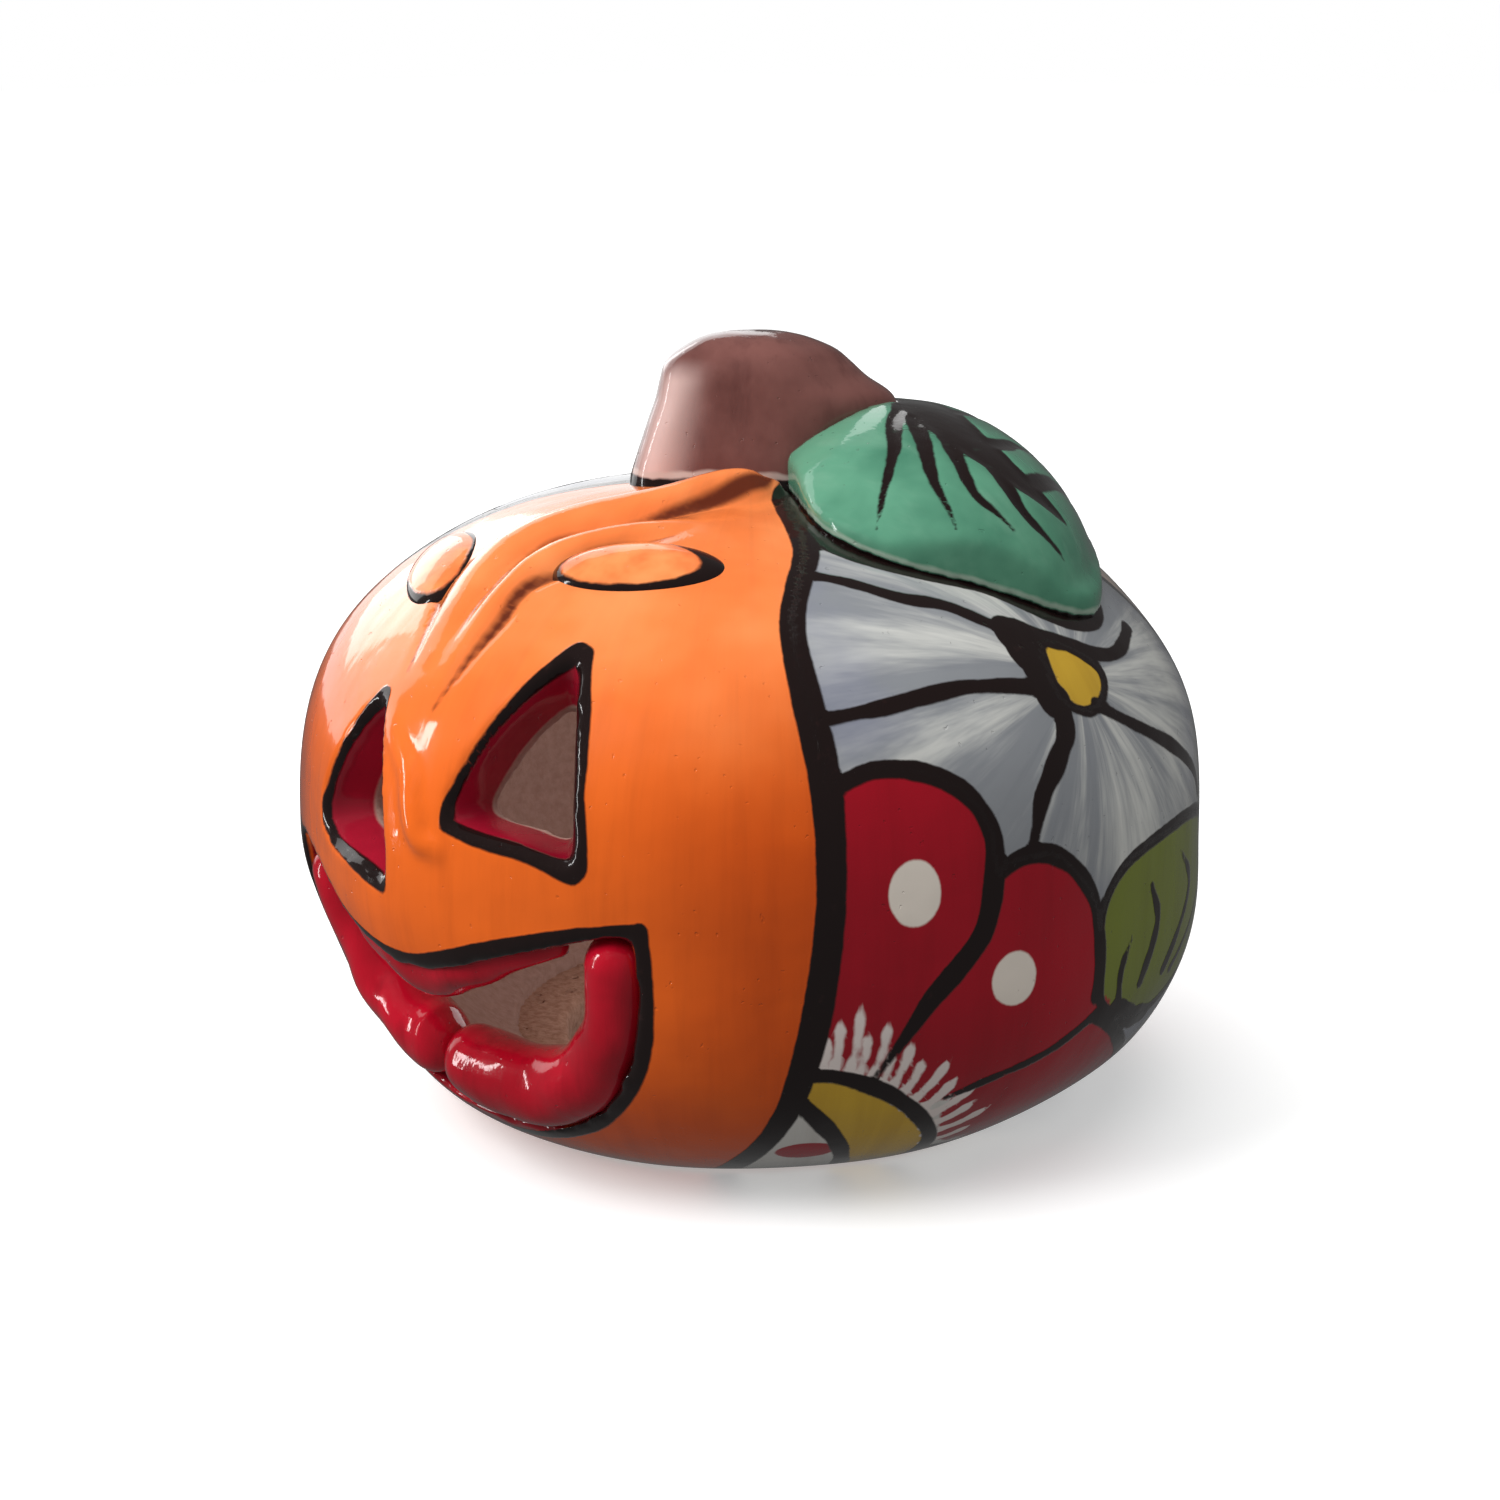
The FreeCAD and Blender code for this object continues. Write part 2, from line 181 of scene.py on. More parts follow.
class Painting:
    """Layers laid over the body: fills, ink lines, light strokes and spots."""

    def __init__(self):
        self.fills = []
        self.ink = []
        self.light = []
        self.spots = []
        self.flowers = []

    def fill(self, points, colour, steps=10, smooth=True):
        outline = smooth_curve(points, True, steps) if smooth else np.asarray(points, float)
        self.fills.append((outline, colour))

    def line(self, points, width, closed=False, taper=(1.0, 1.0)):
        self.ink.append((smooth_curve(points, closed), width, taper))

    def ray(self, points, width, taper=(1.0, 0.1)):
        self.light.append((smooth_curve(points), width, taper))

    def spot(self, longitude, height, across, up, colour):
        self.spots.append((longitude, height, across, up, colour))

    def flower(self, longitude, height, reach):
        """Centre that the brush streaks of the petals around it run to."""
        self.flowers.append((longitude, height, reach))


BORDER = (
    (80, 96.15), (67, 95.95), (60.4, 95.4), (58.2, 94.3), (56.6, 92.4), (52.4, 89.5), (49.8, 86),
    (49.6, 82), (50.5, 76), (51.5, 69.5), (52, 62), (52, 54), (51.6, 46), (50.8, 37.5),
    (49.5, 28.5), (47.5, 19.5), (44.5, 12), (41, 6), (38, 1),
)


def paint_face(art):
    foot = [(36, -2), (0, -3), (-36, -2)]
    face = [(82, 98)] + list(BORDER) + foot + mirror(BORDER)[::-1] + [(-82, 98), (0, 99)]
    art.fill(face, ORANGE)
    # Red that runs from under the lips onto the chin.
    chin = [
        (16, 13), (13, 10), (6, 8.2), (-2, 7.4), (-10, 7.4), (-18, 8.6), (-25, 12.6),
        (-31, 20), (-34, 28), (-30, 30), (-22, 20), (-8, 15), (6, 15),
    ]
    art.fill(chin, RED)


def paint_side_flower(art, place):
    """Grey-blue flower under the leaf. place moves its points to the side wanted."""
    centre = place([(91.0, 75.5)])[0]
    art.flower(centre[0], centre[1], 60.0)
    strokes = (
        (
            [(53.5, 90.2), (62, 89), (70, 87), (76, 85.8), (80.5, 83.8), (85, 81.2)],
            2.2, (1.0, 1.0),
        ),
        ([(52.5, 74.8), (59, 75.6), (69.5, 76.8), (76, 76.5), (84.5, 75.2)], 2.4, (0.9, 1.3)),
        ([(86, 73.5), (85, 69.5), (81.5, 65.6), (78.5, 62), (76.5, 56)], 3.2, (1.6, 0.6)),
        ([(93, 71.5), (100, 67), (108.5, 61.5), (115, 56), (117, 52)], 2.2, (1, 1)),
        (
            [(86, 82), (90.5, 80.3), (95, 78.8), (99, 77), (104.5, 76.2), (112, 77.8)],
            2.4, (1.9, 0.9),
        ),
        ([(84, 82.5), (84.6, 78.5), (85, 73.5)], 5.2, (1, 1)),
    )
    for points, width, taper in strokes:
        art.line(place(points), width, taper=taper)
    ring = place([
        (89, 80.2), (94, 78.6), (97.4, 75.4), (95.6, 72.4), (91, 71), (87, 73), (86.6, 76.6),
    ])
    art.fill(ring, YELLOW)
    art.line(ring, 1.8, closed=True)
    # Line along the foot of the raised leaf, which is on one side only.
    leaf_foot = [
        (64, 95.5), (61.6, 93.4), (66, 91.6), (75, 89.6), (86, 87), (92, 84.3), (98, 81.6),
        (104, 80.6), (109, 82), (113, 84.5),
    ]
    if place is not mirror:
        art.line(place(leaf_foot), 3.6)


def paint_red_flower(art, place):
    """Red petals with white dots that fan up from a yellow and white centre."""
    ground = [
        (50, 27), (57, 36), (72, 34), (88, 27), (100, 14), (92, 1), (40, 1),
        (45.0, 14.0),
    ]
    art.fill(place(ground), GROUND_WHITE)
    first = [
        (52.5, 66.5), (57.5, 68.4), (63.5, 67.6), (68.5, 64.2), (71.2, 58.6), (71.2, 51.5), (70, 45),
        (67, 40.4), (63.5, 35.6), (60.5, 29.6), (57, 22.5), (51, 24), (51, 45), (51.6, 62),
    ]
    second = [
        (72, 53.2), (75.5, 54.8), (79.5, 54), (83.5, 50.4), (86.8, 44.8), (88, 37.6), (87.6, 30.5),
        (84, 26), (76, 22.5), (68, 19), (58, 19), (58.5, 30), (64.5, 41.5), (70, 48.5),
    ]
    third = [
        (87, 31), (95, 22.5), (104, 14), (100, 8.5), (88, 6), (72, 8), (68, 18),
        (76.0, 27.0),
    ]
    for petal in (third, second, first):
        art.fill(place(petal), RED)
    art.line(place(first[:11]), 3.0, taper=(0.8, 0.5))
    art.line(place(second[:7]), 2.6)
    art.line(place([(88, 27.5), (80.5, 23.8), (73.4, 21.4), (67.5, 18.8)]), 1.7, taper=(1, 0.5))
    art.line(place([(88, 27), (96, 20.5), (104, 12.5), (101, 7), (88, 4.5), (72, 6)]), 2.4)
    spots = place([(61.6, 51.6), (74.1, 37.2)])
    art.spot(spots[0][0], spots[0][1], 3.7, 4.6, DOT_WHITE)
    art.spot(spots[1][0], spots[1][1], 3.6, 4.0, DOT_WHITE)
    # White spikes that rise from the arc round the middle of the flower.
    spikes = (
        ((51.6, 32.5), (51.2, 25.4)), ((53.2, 35.5), (52.6, 25)), ((55.6, 38), (54.4, 24.4)),
        ((56.6, 33), (55.4, 23.8)), ((59, 35), (57, 22.8)), ((59.6, 29.5), (58.2, 21.9)),
        ((62, 31), (59.6, 20.9)), ((63.6, 27.5), (61, 19.6)), ((67, 27), (62.4, 18.1)),
        ((68.4, 23), (63.8, 16.6)), ((71.8, 21.6), (65.2, 15)), ((72.4, 17.6), (66.4, 13.2)),
        ((75.4, 15.6), (67.6, 11.2)), ((74.8, 11.4), (68.6, 8.8)), ((77, 8), (69.4, 6)),
    )
    for tip, foot in spikes:
        middle = ((tip[0] + foot[0]) / 2.0 + 0.3, (tip[1] + foot[1]) / 2.0 - 0.6)
        art.ray(place([tip, middle, foot]), 1.7, taper=(0.05, 1.2))
    arc = [
        (49.5, 25.6), (54, 24.6), (60, 20.8), (65, 15.5), (69, 9), (70, 2), (58, 1),
        (54, 10), (50, 18),
    ]
    art.fill(place(arc), YELLOW)
    heart = [(46, 19.5), (49.6, 19), (53.2, 14.5), (56, 8.5), (58, 1), (40, 1), (42, 10)]
    art.fill(place(heart), GROUND_WHITE)
    art.line(place(arc[:6]), 2.6)
    art.line(place([(48.6, 21.4), (52, 16.5), (55.4, 10.5), (58.4, 2)]), 2.6)
    centre = place([(50.6, 10.2)])[0]
    art.spot(centre[0], centre[1], 4.2, 2.9, RED)


def paint_olive_leaf(art, place):
    leaf = [
        (119.5, 47.6), (110, 50.6), (99, 50.3), (92.2, 48.4), (88.5, 43.4), (88.2, 34.6), (88.8, 28.6),
        (94, 24.4), (103, 21.8), (112, 23.5), (120, 29), (127.5, 38),
    ]
    art.fill(place(leaf), OLIVE)
    art.line(place(leaf), 2.0, closed=True)
    veins = (
        ([(95, 37), (92.6, 32), (93, 25.5)], 1.6, (0.5, 1.3)),
        ([(99.5, 43.5), (101.5, 37), (98, 28.5)], 2, (0.4, 1.1)),
        ([(108, 46), (112, 39), (105, 28)], 1.7, (0.4, 1.2)),
        ([(118.5, 41), (116, 34), (108, 27)], 1.4, (0.3, 1.2)),
        ([(92, 26.5), (97, 23), (104, 21)], 4.4, (0.8, 0.6)),
    )
    for points, width, taper in veins:
        art.line(place(points), width, taper=taper)


def paint_back_flower(art):
    """Pale flower at the back, between the two olive leaves."""
    centre = (180.0, 60.0)
    art.flower(centre[0], centre[1], 62.0)
    edge = [(123, 95.5), (125, 84), (124, 68), (120, 51)]
    low_edge = [(122, 27), (130, 18), (142, 12)]
    half = np.vstack((smooth_curve(edge), smooth_curve(low_edge)))
    art.fill(np.vstack((half, half[::-1] * (-1.0, 1.0) + (360.0, 0.0))), BEIGE, smooth=False)
    for part in (edge, low_edge):
        art.line(part, 2.3)
        art.line([(360.0 - lon, height) for lon, height in part], 2.3)

    def off_centre(angle, across, up):
        return centre[0] + across * math.cos(angle), centre[1] + up * math.sin(angle)

    petals = 7
    for index in range(petals):
        turn = 2.0 * math.pi * (index + 0.5) / petals + 0.2 * math.sin(3.0 * index)
        start, end = off_centre(turn, 7.0, 6.5), off_centre(turn, 50.0, 31.0)
        art.line([start, off_centre(turn + 0.08, 27.0, 17.0), end], 2.3, taper=(1.4, 0.8))
    ring = [off_centre(angle, 7.2, 6.4) for angle in full_turn(7)]
    art.fill(ring, YELLOW)
    art.line(ring, 2.6, closed=True)
    half_petal = (
        (3, 4), (3, 16), (8, 25), (20, 29.5), (33, 25.5), (40, 16), (42, 4),
    )
    for side in (-1, 1):
        petal = [(180 + side * lon, height) for lon, height in half_petal]
        art.fill(petal, RED)
        art.line(petal, 2.6, closed=True)
        art.spot(180 + side * 22.0, 18.0, 3.7, 4.2, DOT_WHITE)
        for step in range(6):
            foot = 180 + side * (8.0 + 5.0 * step)
            art.ray([(foot, 12.0 - abs(step - 2.5)), (foot, 1.0)], 1.9, taper=(0.05, 1.0))


def whole_painting():
    art = Painting()
    art.fill([(-180, 0), (180, 0), (180, 97), (-180, 97)], PETAL_GREY, smooth=False)
    sides = (lambda points: points, mirror)
    for place in sides:
        paint_side_flower(art, place)
    paint_back_flower(art)
    for place in sides:
        paint_olive_leaf(art, place)
        paint_red_flower(art, place)
    paint_face(art)
    for place in sides:
        art.line(place(BORDER), 4.0)
    return art


# ------------------------------------------------- painting onto mesh points

FAR = 8.0           # mm, distance given to points away from any stroke


def distance_to_line(points, line, widths):
    """Distance in mm from points to a brush stroke's edge, negative inside."""
    reach = FAR + widths.max()
    near = np.all((points > line.min(0) - reach) & (points < line.max(0) + reach), axis=1)
    result = np.full(len(points), FAR)
    index = np.flatnonzero(near)
    for start in range(0, len(index), 4000):
        part = index[start:start + 4000]
        gap = np.linalg.norm(points[part, None, :] - line[None], axis=2) - widths[None] / 2.0
        result[part] = gap.min(axis=1)
    return result


def brush_widths(count, width, taper):
    """Width along a stroke: tapered ends and the slight swell of a hand."""
    along = np.linspace(0.0, 1.0, count)
    ends = np.interp(along, (0.0, 0.3, 0.7, 1.0), (taper[0], 1.0, 1.0, taper[1]))
    swell = 1.0 + 0.10 * np.sin(along * 9.0 + width * 7.0) + 0.06 * np.sin(along * 23.0 + width)
    return width * ends * swell


def stroke_layer(points, strokes):
    """Signed distance in mm to the nearest of several strokes on the body."""
    layer = np.full(len(points), FAR)
    for curve, width, taper in strokes:
        line = resampled(on_body(curve[:, 0], curve[:, 1]), 0.6)
        layer = np.minimum(layer, distance_to_line(points, line, brush_widths(len(line), width, taper)))
    return layer


def inside(longitude, height, outline):
    """Even-odd test of points against an outline, both as longitude and height."""
    result = np.zeros(len(longitude), bool)
    for (x0, y0), (x1, y1) in zip(outline, np.roll(outline, -1, axis=0)):
        crosses = (y0 > height) != (y1 > height)
        if y0 != y1:
            result ^= crosses & (longitude < x0 + (x1 - x0) * (height - y0) / (y1 - y0))
    return result


def longitude_of(points):
    return np.degrees(np.arctan2(points[:, 0], -points[:, 1]))


def offset_on_body(points, longitude, height):
    """Offsets of points from a place on the body: as vectors, eastward and upward."""
    middle = on_body(longitude, height)
    offset = points - middle
    turn = math.radians(longitude)
    east = np.array((math.cos(turn), math.sin(turn), 0.0))
    return offset, offset @ east, offset @ np.cross(outward(middle), east)


def paint_layers(art, points):
    """Colour and stroke layers of the painting at points in mm."""
    longitude = longitude_of(points)
    height = np.clip(points[:, 2], 0.0, CROWN - 0.1)
    colour = np.zeros((len(points), 4))
    colour[:, 3] = 1.0
    for outline, fill in art.fills:
        for shift in (-360.0, 0.0, 360.0):
            if outline[:, 0].max() > shift - 180.0 and outline[:, 0].min() < shift + 180.0:
                colour[inside(longitude + shift, height, outline), :3] = fill
    layers = {"ink": stroke_layer(points, art.ink), "light": stroke_layer(points, art.light)}
    spot = np.full(len(points), FAR)
    spot_colour = np.ones((len(points), 4))
    for lon, level, across, up, fill in art.spots:
        offset, east, north = offset_on_body(points, lon, level)
        reach = np.hypot(east / across, north / up)
        gap = (reach - 1.0) * (across + up) / 2.0
        nearer = (gap < spot) & (np.linalg.norm(offset, axis=1) < 3 * up)
        spot[nearer] = gap[nearer]
        spot_colour[nearer, :3] = fill
    layers["spot"] = spot
    streak = np.stack((longitude / 4.5, 40.0 + height / 60.0, np.zeros(len(points))), axis=-1)
    petal = np.isclose(colour[:, 2], PETAL_GREY[2]) | np.isclose(colour[:, 2], BEIGE[2])
    layers["petal"] = petal.astype(float)
    best = np.full(len(points), 1e9)
    for lon, level, reach in art.flowers:
        offset, x, y = offset_on_body(points, lon, level)
        gap = np.linalg.norm(offset, axis=1)
        nearer = (gap < best) & (gap < reach) & petal
        best[nearer] = gap[nearer]
        flat = np.maximum(np.hypot(x, y), 1e-6)
        values = np.stack((3.0 * x / flat, 3.0 * y / flat, gap / reach), axis=-1)
        streak[nearer] = values[nearer]
    return colour, spot_colour, layers, streak


LAYER_FIELD = {"FLOAT": "value", "FLOAT_COLOR": "color", "FLOAT_VECTOR": "vector"}


def write_layer(mesh, name, values, kind="FLOAT"):
    """Store a value, colour or vector on each vertex for the material to read."""
    attribute = mesh.attributes.new(name, kind, "POINT")
    attribute.data.foreach_set(LAYER_FIELD[kind], np.asarray(values, np.float32).ravel())


# ---------------------------------------------------------------- mesh tools


def mesh_points(mesh):
    """Vertex positions of a mesh in mm."""
    flat = np.empty(len(mesh.vertices) * 3)
    mesh.vertices.foreach_get("co", flat)
    return flat.reshape(-1, 3) / MM


def set_points(mesh, points):
    mesh.vertices.foreach_set("co", (points * MM).astype(np.float32).ravel())
    mesh.update()


def mesh_normals(mesh):
    flat = np.empty(len(mesh.vertices) * 3, np.float32)
    mesh.vertices.foreach_get("normal", flat)
    return flat.reshape(-1, 3).astype(float)


def mesh_edges(mesh):
    flat = np.empty(len(mesh.edges) * 2, np.int32)
    mesh.edges.foreach_get("vertices", flat)
    return flat.reshape(-1, 2)


def relaxed(points, edges, rounds, strength=0.5):
    """Laplacian smoothing: each point moves towards the mean of its neighbours."""
    count = np.bincount(edges.ravel(), minlength=len(points))[:, None]
    for _ in range(rounds):
        total = np.zeros_like(points)
        for axis in range(points.shape[1]):
            total[:, axis] += np.bincount(edges[:, 0], points[edges[:, 1], axis], len(points))
            total[:, axis] += np.bincount(edges[:, 1], points[edges[:, 0], axis], len(points))
        points = points + (total / np.maximum(count, 1) - points) * strength
    return points


def link(thing):
    bpy.context.scene.collection.objects.link(thing)


def new_piece(name, mesh, nodes, material):
    """Object for a finished mesh that stands for CAD nodes."""
    if name != "base_ring":
        set_points(mesh, lopsided(mesh_points(mesh)))
    piece = bpy.data.objects.new(name, mesh)
    link(piece)
    mesh.materials.clear()
    mesh.materials.append(material)
    mesh.shade_smooth()
    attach(piece, "root")
    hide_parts(*nodes)
    return piece


def grid_mesh(name, rings, closed=True, cap_start=None, cap_end=None):
    """Mesh from rings of points in mm, with optional pole points at its ends."""
    rows, columns = len(rings), len(rings[0])
    points = [point for ring in rings for point in ring]
    faces = []
    for row in range(rows - 1):
        for column in range(columns if closed else columns - 1):
            following = (column + 1) % columns
            a, b = row * columns + column, row * columns + following
            faces.append((a, b, b + columns, a + columns))
    for pole, row in ((cap_start, 0), (cap_end, rows - 1)):
        if pole is None:
            continue
        points.append(pole)
        tip = len(points) - 1
        for column in range(columns):
            a, b = row * columns + column, row * columns + (column + 1) % columns
            faces.append((b, a, tip) if row == 0 else (a, b, tip))
    mesh = bpy.data.meshes.new(name)
    mesh.from_pydata([tuple(np.asarray(point) * MM) for point in points], [], faces)
    mesh.validate()
    work = bmesh.new()
    work.from_mesh(mesh)
    bmesh.ops.recalc_face_normals(work, faces=work.faces)
    work.to_mesh(mesh)
    work.free()
    return mesh


# ----------------------------------------------------- face: eyes and mouth

# (longitude, height, width in mm of the black line outside the cut edge)
EYE_LEFT = (
    (5.6, 57.8, 1), (5.4, 60.6, 0.7), (6.7, 64.5, 0.6), (9.2, 71, 0.7), (13.2, 77.2, 1.1),
    (18, 81.4, 2.4), (21.7, 68.8, 2.3), (22.8, 54.9, 2.2), (15.3, 56.9, 1.9), (9.4, 57.5, 1.4),
)
EYE_RIGHT = (
    (-11.6, 71.8, 1.5), (-14.4, 69, 0.8), (-17.2, 64, 0.6), (-19.7, 58.5, 0.6), (-21.6, 53.5, 0.6),
    (-21.2, 50.6, 0.8), (-18.2, 48.8, 1), (-9.8, 47.9, 1.3), (-4.4, 46.3, 1.2), (-4.4, 52.7, 0.8),
    (-7.2, 63.0, 1.0),
)
# How far in mm the line laps over the cut edge.
RIM_OVERLAP = 0.7
# (longitude, height, share of the way from the side to the bottom thickness)
LIP_LEFT_PATH = (
    (-8.6, 14.6, 0.4), (-2, 13.6, 0.8), (5, 13.4, 1), (13.5, 14.4, 1), (20.8, 19.4, 0.7),
    (25.6, 28, 0.3), (27, 37.5, 0), (26.6, 45, 0),
)
LIP_RIGHT_PATH = (
    (-8.6, 14.6, 0.4), (-13, 14.3, 0.5), (-18.5, 16, 0.4), (-24.5, 20.5, 0.2),
    (-29.5, 28.5, 0), (-31.5, 36.5, 0), (-31.5, 42.5, 0),
)
LIP_SIDE, LIP_BOTTOM, LIP_DEPTH, LIP_SEAT = 4.8, 5.8, 4.8, 3.9
MOUTH_TOP = (
    (29.8, 45.8), (21.5, 43.2), (15, 40.6), (8, 37.6), (1, 34.8), (-5, 34.2),
    (-11, 35.6), (-16.5, 37.8), (-22, 41.2), (-28, 43.6), (-34.5, 44.6),
)
UPPER_LIP = (
    (20.5, 42.2, 1.4), (12.5, 39, 2.4), (5.5, 36, 3.6), (-1, 33.6, 4.6),
    (-8, 33.4, 4.4), (-15, 35.8, 3.4), (-22, 39.6, 2.2),
)


def pressed_to_surface(points, direction):
    """Points moved along a direction until they lie on the body surface."""
    for _ in range(6):
        slope = outward(points) @ direction
        points = points + direction * (depth_below(points) / np.maximum(slope, 0.3))[:, None]
    return points


def path_on_body(path, lift=0.0):
    return on_body([point[0] for point in path], [point[1] for point in path], lift)


def eye_ink(points):
    """Distance to the black outline that is brushed round each eye."""
    layer = np.full(len(points), FAR)
    for outline in (EYE_LEFT, EYE_RIGHT):
        longitude, height, widths = np.array(outline).T
        rim = on_body(longitude, height)
        middle = rim.mean(axis=0)
        normal = outward(middle)
        loop = np.column_stack((rim, widths))
        loop = resampled(np.vstack((loop, loop[:1])), 0.5)
        away = unit_rows(np.cross(np.gradient(loop[:, :3], axis=0), normal))
        away *= np.sign(np.sum(away * (loop[:, :3] - middle), axis=1))[:, None]
        width = loop[:, 3] * (1.0 + 0.12 * np.sin(np.arange(len(loop)) * 0.17)) + RIM_OVERLAP
        line = pressed_to_surface(loop[:, :3] + away * (width / 2.0 - RIM_OVERLAP)[:, None], normal)
        layer = np.minimum(layer, distance_to_line(points, line, width))
    return layer


def lip_seat(path):
    """Edge of the mouth beside one lip, and the direction away from the mouth."""
    line = path_on_body(path)
    side = 1.0 if path[-1][0] > path[0][0] else -1.0
    sideways = unit_rows(np.cross(np.gradient(line, axis=0), outward(line))) * side
    return line + sideways * LIP_SEAT, sideways


def mouth_ink(points):
    """Distance to the black line that is brushed round the mouth."""
    layer = np.full(len(points), FAR)
    for path, corner in ((LIP_LEFT_PATH, (30.8, 47.2)), (LIP_RIGHT_PATH, (-35.6, 45.4))):
        seat, sideways = lip_seat(path)
        lon, height = np.array(path)[:-1, :2].T
        drop = 1.2 + 3.8 * smoothstep(18, 2, lon) * smoothstep(28, 15, height)
        edge = smooth_curve(np.vstack((seat[:-1] + sideways[:-1] * drop[:, None], on_body(*corner)[None])))
        line = resampled(edge, 0.6)
        layer = np.minimum(layer, distance_to_line(points, line, brush_widths(len(line), 2.9, (0.9, 0.9))))
    top = smooth_curve(MOUTH_TOP)
    top = resampled(np.column_stack((on_body(top[:, 0], top[:, 1]), top[:, 0])), 0.6)
    widths = np.interp(top[:, 3], (-34.0, -14.0, -4.0, 10.0, 24.0, 31.0), (1.6, 2.6, 3.8, 4.0, 3.4, 2.8))
    top[:, 2] += widths / 2.0 - RIM_OVERLAP
    return np.minimum(layer, distance_to_line(points, top[:, :3], widths))


# Direction across the figure in which it is lopsided.
VIEW_RIGHT = np.array((math.cos(math.radians(43.0)), math.sin(math.radians(43.0)), 0.0))
# Folds that sweep from the foot of the stem down between the eyes, as
# (longitude, height, half width, rise).
FOLD_UPPER = (
    (58, 95.93, 2.2, 3), (44, 95.9, 3.4, 4.3), (32, 95.85, 3.9, 4.5), (18, 95.65, 4.3, 4.1),
    (6, 95.2, 4.5, 3.3), (-4, 94.5, 4.8, 2.7), (-12, 93, 5, 2.4), (-14.5, 90.8, 5, 2.2),
    (-12.5, 88, 4.8, 1.9), (-9.5, 85, 4.4, 1.5), (-7.5, 81.5, 3.8, 0.9), (-6, 76, 3, 0),
)
FOLD_LOWER = (
    (24, 94.6, 2, 0), (9, 93.1, 3, 1.5), (0.5, 91.3, 3.4, 1.8), (-2, 88.8, 3.4, 1.9),
    (-1.6, 86, 3.4, 1.7), (-1, 82.5, 3.2, 1.2), (-1, 76, 2.6, 0),
)
# Bridge of the nose: a soft ridge beside the inner corner of the left eye.
NOSE_BRIDGE = (
    (-9, 72.5, 1.6, 0), (-5, 67, 2, 0.5), (-1.5, 63.5, 2.2, 0.8), (0.2, 59, 2.2, 1.2),
    (2, 55.2, 2, 1.3), (4.6, 54, 1.8, 0.5),
)
# Creases between the folds, as (longitude, height, width of the ink in them).
CREASES = (
    (
        (60, 95.95, 0.2), (52, 95.86, 1.7), (37.8, 95.7, 1.8), (25.6, 95.35, 1.5), (13.7, 94.7, 1.4),
        (6.6, 93.9, 1.3), (0.7, 93, 1.2), (-4.6, 92, 1.1), (-6.6, 90.8, 1.1), (-6, 88.9, 1),
        (-4.7, 86.7, 0.8), (-4.1, 84, 0.5), (-3.1, 81, 0.2),
    ),
    (
        (7.4, 89.6, 1.9), (5, 89, 1.7), (2.3, 87.8, 1.4), (1.5, 86, 1.3), (2.3, 83, 1.2),
        (1.5, 79.4, 0.9), (0.5, 75.5, 0.5), (-0.4, 72, 0.2),
    ),
    ((22, 93.2, 0.2), (12, 92.2, 0.9), (6.5, 91.2, 1), (4, 89.8, 0.7)),
    ((-17.6, 84.2, 1.2), (-14, 82.6, 0.9), (-10.6, 79, 0.6), (-9, 75.4, 0.2)),
)
CREASE_DEPTH = 0.7


def nearest_on_path(points, path):
    """Distance to a path of (longitude, height, values...) and its values there."""
    curve = smooth_curve(path)
    samples = resampled(np.column_stack((on_body(curve[:, 0], curve[:, 1]), curve[:, 2:])), 0.8)
    gap = np.full(len(points), 1e3)
    values = np.ones((len(points), samples.shape[1] - 3))
    near = np.all((points > samples[:, :3].min(0) - 9) & (points < samples[:, :3].max(0) + 9), axis=1)
    index = np.flatnonzero(near)
    for start in range(0, len(index), 4000):
        part = index[start:start + 4000]
        apart = np.linalg.norm(points[part, None, :] - samples[None, :, :3], axis=2)
        nearest = apart.argmin(axis=1)
        gap[part] = apart[np.arange(len(part)), nearest]
        values[part] = samples[nearest, 3:]
    return gap, values


def relief(points):
    """Height in mm that hand-shaping adds to the outside of the body."""
    lift = np.zeros(len(points))
    for path in (FOLD_UPPER, FOLD_LOWER, NOSE_BRIDGE):
        gap, values = nearest_on_path(points, path)
        ridge = np.clip(1.0 - (gap / (values[:, 0] * 1.1)) ** 2, 0.0, 1.0)
        lift = np.maximum(lift, values[:, 1] * ridge)
    for path in CREASES:
        gap, values = nearest_on_path(points, path)
        strength = np.clip(values[:, 0], 0.0, 1.0) * (gap < 6.0)
        lift -= CREASE_DEPTH * strength * np.exp(-(gap / 0.9) ** 2)
    longitude = np.radians(longitude_of(points))
    height = points[:, 2]
    swell = smoothstep(0, 25, height) * (1.0 - smoothstep(72, 92, height))
    lift += 0.40 * np.cos(9.0 * longitude + 0.4) * swell
    lift += 0.25 * np.sin(5.0 * longitude + height * 0.11) * np.sin(height * 0.09 + 2.0 * longitude)
    return lift


def crease_ink(points):
    """Distance to the thin dark brown lines drawn along the creases."""
    layer = np.full(len(points), FAR)
    for path in CREASES:
        gap, values = nearest_on_path(points, path)
        layer = np.minimum(layer, gap - values[:, 0] / 2.0)
    return layer


def lopsided(points):
    """Points moved as the hand-built body is: flatter low down on its right."""
    points = np.array(points, float)
    side = points @ VIEW_RIGHT
    low = smoothstep(2, 14, points[:, 2]) * (1.0 - smoothstep(24, 44, points[:, 2]))
    points += np.outer(2.6 * low * smoothstep(8.0, 55.0, -side), VIEW_RIGHT)
    points += np.outer(1.2 * low * smoothstep(8.0, 55.0, side), VIEW_RIGHT)
    return points


# -------------------------------------------------------------- body shells

VOXEL = 0.8


